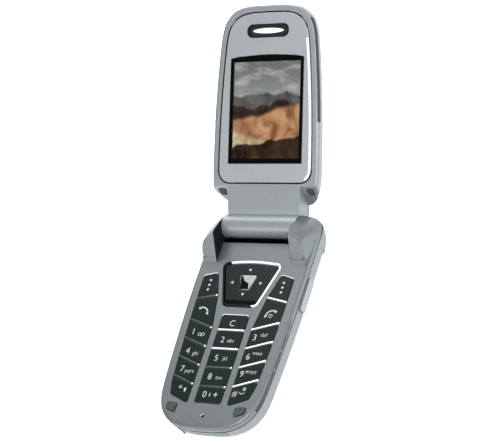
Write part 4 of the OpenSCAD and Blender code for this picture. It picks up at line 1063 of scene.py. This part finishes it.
    def end_highlights(self, bars: Mesh) -> None:
        """Set a white bead of painted highlight on the right end of every shaded bar.

        Args:
            bars: The mesh of the bars, whose tops are still flat.
        """
        tops = bars.copy()
        keep_top(tops)
        end_highlights = bmesh.new()
        for face in tops.faces:
            end = sorted((vert.co for vert in face.verts), key=lambda co: co.x)[-2:]
            middle = (end[0] + end[1]) / 2 - Vector((self.bead_in, 0, self.bead_sunk))
            bead = bmesh.new()
            bmesh.ops.create_uvsphere(bead, u_segments=20, v_segments=10, radius=self.bead_r)
            add_copy(end_highlights, bead, Matrix.Translation(middle) @ Matrix.Scale(self.bead_flat, 4, (0, 0, 1)))
        tops.free()
        self.fit(end_highlights, "bar_end_highlights", PAINTED_HIGHLIGHT, crease=60)

    def printing(self, key: Key) -> None:
        """Print one key.

        Args:
            key: The key.
        """
        low, high = box_of(key.node)
        ink = Print()
        for mark in key.marks:
            mark.put_on(ink)
        if key.node in ("send_key", "end_key"):
            self.call_marks(ink, (low + high) / 2)
        self.fit(ink.film(high.z), key.node + "_print", KEY_INK, body=key.body)

    def call_marks(self, ink: Print, middle: Vector) -> None:
        """Print the receiver on the send or end key, with the power mark on the end key.

        Args:
            ink: The printing of the key.
            middle: The key's middle.
        """
        ink.handset(middle.x, middle.y + self.handset_lift, math.copysign(self.handset_turn, middle.x))
        if middle.x > 0:
            x, y = middle.x + self.power_at[0], middle.y + self.power_at[1]
            ink.arc(x, y, self.power_r, self.power_line, *self.power_arc)
            ink.bar(x, y + self.power_rise, self.power_line, self.power_stroke)


@dataclass
class Navigation(Assembly):
    """Four-way key in its frame, coloured with painted highlight and painted shade, with the confirm key in
    the middle.
    """

    frame_edge: float = 0.28
    frame_from: float = 2.5
    frame_end: float = 6.0
    foot_from: float = 33.4
    foot_lift: float = 0.01
    key_edge: float = 0.4
    confirm_edge: float = 0.2
    arrow: float = 0.8
    arrows: tuple[tuple[float, float, float], ...] = (
        (-0.3, 19.4, 0), (-0.3, 30.5, 180), (-6.8, 25.4, 90), (6.3, 25.3, -90))

    def build(self) -> None:
        """Make the frame, the two keys and their marks."""
        self.refined("nav_key", KEY_PLASTIC, self.key_edge, 4, "nav", top=True)
        self.refined("ok_key", CONFIRM, self.confirm_edge, 4, "ok", top=True)
        self.frame_half("nav_frame_bright", -1, PAINTED_HIGHLIGHT)
        self.frame_half("nav_frame_shaded", 1, SHADED_CHROME)
        self.key_foot_shade()
        ink = Print()
        for x, from_hinge, turn in self.arrows:
            ink.dot(x, HINGE_Y - from_hinge, self.arrow, 3, turn)
        self.fit(ink.film(box_of("nav_key")[1].z), "nav_key_print", KEY_INK, body="nav")
        self.confirm_shade()

    def confirm_shade(self) -> None:
        """Darken the slope of the confirm key that faces away from the light, left of its ridge."""
        low, high = box_of("ok_key")
        shade = Print()
        shade.shape(((low.x + 0.25, high.y - 0.3), (low.x + 1.1, high.y - 0.4), (-1.2, high.y - 2.6),
                     (0.9, high.y - 3.6), (1.8, low.y + 0.15), (-1.9, low.y + 0.15)))
        self.fit(shade.film(high.z), "ok_key_shade", SHADE_BLACK, body="ok")

    def frame_half(self, name: str, side: int, finish: Finish) -> None:
        """Make one half of the frame: painted highlight at its top and right, painted shade at its left and
        bottom.

        Args:
            name: Name of the piece.
            side: 1 for the half at the left and bottom, -1 for the other one.
            finish: Its finish.
        """
        low, high = box_of("nav_frame")
        start, end = Vector((low.x + self.frame_from, high.y, 0)), Vector((self.frame_end, low.y, 0))
        bm = self.copy("nav_frame")
        round_off(bm, rims(bm), self.frame_edge, 4)
        edges = cut(bm, start, (end - start).cross(Vector((0, 0, side))), clear_inner=True)
        bmesh.ops.holes_fill(bm, edges=edges)
        self.fit(bm, name, finish, "nav_frame", even=True)

    def key_foot_shade(self) -> None:
        """Cover the lower edge of the four-way key with a black strip of painted shade."""
        bm = self.copy("nav_key")
        cut(bm, (0, HINGE_Y - self.foot_from, 0), (0, 1, 0), clear_outer=True)
        keep_top(bm)
        shift_all(bm, 0, 0, self.foot_lift)
        thicken(bm)
        self.fit(bm, "nav_key_foot_shade", SHADE_BLACK, body="nav")


# ---------------------------------------------------------------- lid


@dataclass
class LidShell(Assembly):
    """Painted casing of the display half, with its panel and pads."""

    edge: float = 0.12
    pad_edge: float = 0.1
    trim_edge: float = 0.15
    panel_edge: float = 0.4
    core_w: float = 17.5
    core_low: float = 24.0
    core_high: float = 84.0
    core_high_right: float = 80.0
    # The black painted shade in the panel's gap
    gap_shade_t: float = 0.5
    gap_shade_d: float = 0.1
    top_slack: float = 0.05
    # The white strip of painted highlight on the panel's right edge
    highlight_w: float = 1.1
    highlight_from: float = 18.5
    highlight_span: tuple[float, float] = (19, 85)
    highlight_area: float = 200
    highlight_shift: tuple[float, float, float] = (-0.12, 0, 0.03)
    groove_start: float = 42.0
    groove_end: float = 84.0
    groove_low: float = -0.8
    groove_high: float = 0.57
    groove_x: float = 19.0

    def build(self) -> None:
        """Make the casing, the panel, the pads and the outer trim."""
        self.refined("lid_front_case", LID_PAINT, self.edge)
        self.refined("lid_rear_case", BACK_PAINT, self.edge)
        self.refined("lid_panel", PANEL_PAINT, self.panel_edge, 4)
        self.refined("lid_bumpers", RUBBER, self.pad_edge)
        self.refined("outer_window", OUTER_GLASS, self.trim_edge, 3)
        self.refined("camera_bezel", SIDE_PAINT, self.trim_edge, 3)
        self.refined("camera_module", LENS_BARREL, self.pad_edge)
        self.gap_shade()
        self.bevel()
        self.groove()

    def bevel(self) -> None:
        """Lay a white painted highlight along the right edge of the panel."""
        bm = self.copy("lid_panel")
        keep_top(bm)
        bmesh.ops.inset_region(bm, faces=bm.faces[:], thickness=self.highlight_w, use_boundary=True,
                               use_even_offset=True)
        low, high = self.highlight_span
        keep(bm, lambda face, middle: middle.x >= self.highlight_from and low < middle.y < high
             and face.calc_area() <= self.highlight_area)
        shift_all(bm, *self.highlight_shift)
        thicken(bm)
        self.fit(bm, "panel_highlight", PAINTED_HIGHLIGHT)

    def gap_shade(self) -> None:
        """Fill the gap round the panel with thin black painted shade, but for most of its right side."""
        bm = self.copy("lid_panel")
        top = summit(bm)
        keep(bm, lambda face, middle: abs(face.normal.z) <= 0.3 and not (
            abs(middle.x) < self.core_w and self.core_low < middle.y < self.core_high
            or middle.x > self.core_w and self.core_low < middle.y < self.core_high_right))
        thicken(bm, -self.gap_shade_t)
        for vert in bm.verts:
            if vert.co.z > top - self.top_slack:
                vert.co.z = top - self.gap_shade_d
        self.fit(bm, "panel_gap_shade", SHADE_BLACK)

    def groove(self) -> None:
        """Lay painted shade, a dark strip, on the shoulder of the casing on both sides, from the lobes to the
        tip.
        """
        bm = self.copy("lid_front_case")
        cut(bm, (0, self.groove_start, 0), (0, -1, 0), clear_outer=True)
        cut(bm, (0, self.groove_end, 0), (0, 1, 0), clear_outer=True)
        cut(bm, (0, 0, self.groove_low), (0, 0, -1), clear_outer=True)
        cut(bm, (0, 0, self.groove_high), (0, 0, 1), clear_outer=True)
        keep(bm, lambda face, middle: abs(middle.x) >= self.groove_x and abs(face.normal.z) <= 0.9
             and abs(face.normal.y) <= 0.9 and face.normal.x * middle.x >= 0)
        draw_out(bm, lambda place: Vector((math.copysign(SHEET, place.x), 0, SHEET)))
        self.fit(bm, "lid_groove_shade", GROOVE_SHADE)


@dataclass
class Display(Assembly):
    """Window with its black printed border, and the lit picture under it."""

    picture_w: float = 15.8
    picture_low: float = 27.6
    picture_high: float = 66.9
    film: float = 0.04
    border_lift: float = 0.09
    overlap: float = 0.45
    under: float = 0.2
    pane_edge: float = 0.08

    def build(self) -> None:
        """Make the window, the border and the picture."""
        window = self.copy("display_window")
        level = min(vert.co.z for vert in window.verts)
        border = self.border(window.copy(), level)
        shift_all(border, 0, 0, summit(window) - level + self.border_lift)
        round_off(window, sharp_edges(window), self.pane_edge)
        self.fit(window, "window_pane", WINDOW, "display_window", even=True)
        self.fit(border, "window_border", MASK_INK)
        self.picture(level - self.film)

    def border(self, bm: Mesh, level: float) -> Mesh:
        """Cut the black border out of the window's underside.

        Args:
            bm: A copy of the window.
            level: Height of its underside.

        Returns:
            The border as a thin sheet.
        """
        above = [face for face in bm.faces if any(vert.co.z > level + 0.01 for vert in face.verts)]
        bmesh.ops.delete(bm, geom=above, context="FACES")
        middle_y = (self.picture_low + self.picture_high) / 2
        for x in (self.picture_w, -self.picture_w):
            cut(bm, (x, 0, 0), (1, 0, 0))
        for y in (self.picture_low, self.picture_high):
            cut(bm, (0, y, 0), (0, 1, 0))
        keep(bm, lambda face, middle: abs(middle.x) >= self.picture_w / 2
             or abs(middle.y - middle_y) >= self.picture_w)
        for vert in bm.verts:
            if abs(vert.co.x) > self.picture_w + self.under:
                vert.co.x += math.copysign(self.overlap, vert.co.x)
            if vert.co.y < self.picture_low - self.under:
                vert.co.y -= self.overlap
        draw_out(bm, lambda place: Vector((0, 0, self.film)))
        return bm

    def picture(self, level: float) -> None:
        """Lay the lit picture just under the window.

        Args:
            level: Height at which its sheet is laid.
        """
        bm = bmesh.new()
        bm.loops.layers.uv.new("picture")
        bmesh.ops.create_grid(bm, x_segments=1, y_segments=1, size=0.5, calc_uvs=True)
        height = self.picture_high - self.picture_low + 2 * self.under
        bmesh.ops.scale(bm, vec=(2 * (self.picture_w + self.under), height, 1), verts=bm.verts)
        shift_all(bm, 0, (self.picture_low + self.picture_high) / 2, level)
        thicken(bm, -self.film)
        self.fit(bm, "lit_picture", PICTURE)


@dataclass
class Earpiece(Assembly):
    """Chrome ring darkened with painted shade round a dark slot, with a bright oval of painted reflection
    across it.
    """

    ring_edge: float = 0.25
    cloth_edge: float = 0.05
    # Size of the oval of painted reflection across the slot
    bar: tuple[float, float, float] = (7.2, 1.1, 0.32)

    def build(self) -> None:
        """Make the ring, the cloth and the oval of painted reflection."""
        self.refined("earpiece_trim", SHADED_CHROME, self.ring_edge, 4, name="earpiece_ring", top=True)
        self.refined("earpiece_grille", MESH_BLACK, self.cloth_edge)
        grille = self.copy("earpiece_grille")
        middle = sum(vert.co.y for vert in grille.verts) / len(grille.verts)
        level = summit(grille)
        grille.free()
        bar = bmesh.new()
        bmesh.ops.create_uvsphere(bar, u_segments=48, v_segments=20, radius=1)
        bmesh.ops.scale(bar, vec=self.bar, verts=bar.verts)
        shift_all(bar, 0, middle, level)
        self.fit(bar, "earpiece_reflection", PAINTED_HIGHLIGHT, crease=60)


# ---------------------------------------------------------------- studio


@dataclass
class Studio:
    """Pale floor, soft lights and the camera, in metres and watts."""

    eye: tuple[float, float, float] = (0.39017, -0.28491, 0.56268)
    view: tuple[float, float, float] = (-0.5258, 0.4397, -0.7281)
    upright: tuple[float, float, float] = (-0.0153, 0.8510, 0.5250)
    lens: float = 133.85
    floor_size: float = 6.0
    target: tuple[float, float, float] = (0, 0.02, 0.02)
    room: str = "#f1f4f6"
    room_strength: float = 0.35

    def build(self) -> None:
        """Make the camera, the floor and the lights."""
        self.camera()
        self.floor()
        self.world()
        self.softbox("key_light", (0.25, -0.35, 1.15), 0.6, 10.0)
        self.softbox("front_light", (-0.38, -0.6, 0.48), 0.3, 1.7)
        self.softbox("right_light", (0.95, 0.15, 0.55), 0.5, 2.0)
        self.softbox("back_light", (-0.35, 0.75, 0.75), 0.4, 5.0)
        self.softbox("ear_light", (0.2, 1.1, 0.35), 0.3, 4.0)
        self.softbox("edge_light", (-0.58, 0.9, 0.25), 0.25, 2.5)

    def camera(self) -> None:
        """Set up the camera."""
        camera = in_scene("camera", bpy.data.cameras.new("camera"))
        camera.data.lens = self.lens
        camera.data.sensor_width = 36
        camera.data.clip_start = 0.01
        back = -Vector(self.view).normalized()
        right = Vector(self.upright).cross(back).normalized()
        turned = Matrix((right, back.cross(right), back)).transposed().to_4x4()
        camera.matrix_world = Matrix.Translation(self.eye) @ turned
        bpy.context.scene.camera = camera

    def floor(self) -> None:
        """Lay a plain pale floor."""
        bm = bmesh.new()
        bmesh.ops.create_grid(bm, x_segments=1, y_segments=1, size=self.floor_size / 2)
        mesh = bpy.data.meshes.new("floor")
        bm.to_mesh(mesh)
        bm.free()
        mesh.materials.append(material_of(PAPER))
        floor = in_scene("floor", mesh)

    def world(self) -> None:
        """Light the room evenly."""
        world = bpy.data.worlds.new("studio")
        world.use_nodes = True
        sky = world.node_tree.nodes["Background"]
        sky.inputs["Color"].default_value = linear(self.room)
        sky.inputs["Strength"].default_value = self.room_strength
        bpy.context.scene.world = world
        bpy.context.scene.view_settings.view_transform = "Standard"

    def softbox(self, name: str, place: tuple[float, float, float], size: float, power: float) -> None:
        """Hang a square soft light that looks at the phone.

        Args:
            name: Name of the light.
            place: Where it hangs.
            size: Its side.
            power: Its power.
        """
        light = bpy.data.lights.new(name, "AREA")
        light.size = size
        light.energy = power
        aim = Vector(self.target) - Vector(place)
        turned = aim.to_track_quat("-Z", "Y").to_matrix().to_4x4()
        in_scene(name, light).matrix_world = Matrix.Translation(place) @ turned


def dress_inner_nodes() -> None:
    """Give the CAD nodes that are shown as they are their finishes."""
    for node, finish in INNER_FINISHES.items():
        piece = frame["nodes"][node]
        piece.data.materials.clear()
        piece.data.materials.append(material_of(finish))
        LOG.info("%s keeps its CAD shape", node)


def main() -> None:
    """Build the studio, then every sub-assembly of the phone."""
    logging.basicConfig(level=logging.INFO, format="%(message)s")
    Studio().build()
    base, lid = (Place.BASE, "base"), (Place.LID, "lid")
    for assembly in (BaseShell(*base), Keypad(*base), Navigation(*base),
                     LidShell(*lid), Display(*lid), Earpiece(*lid)):
        assembly.build()
    dress_inner_nodes()


if __name__ == "__main__":
    main()
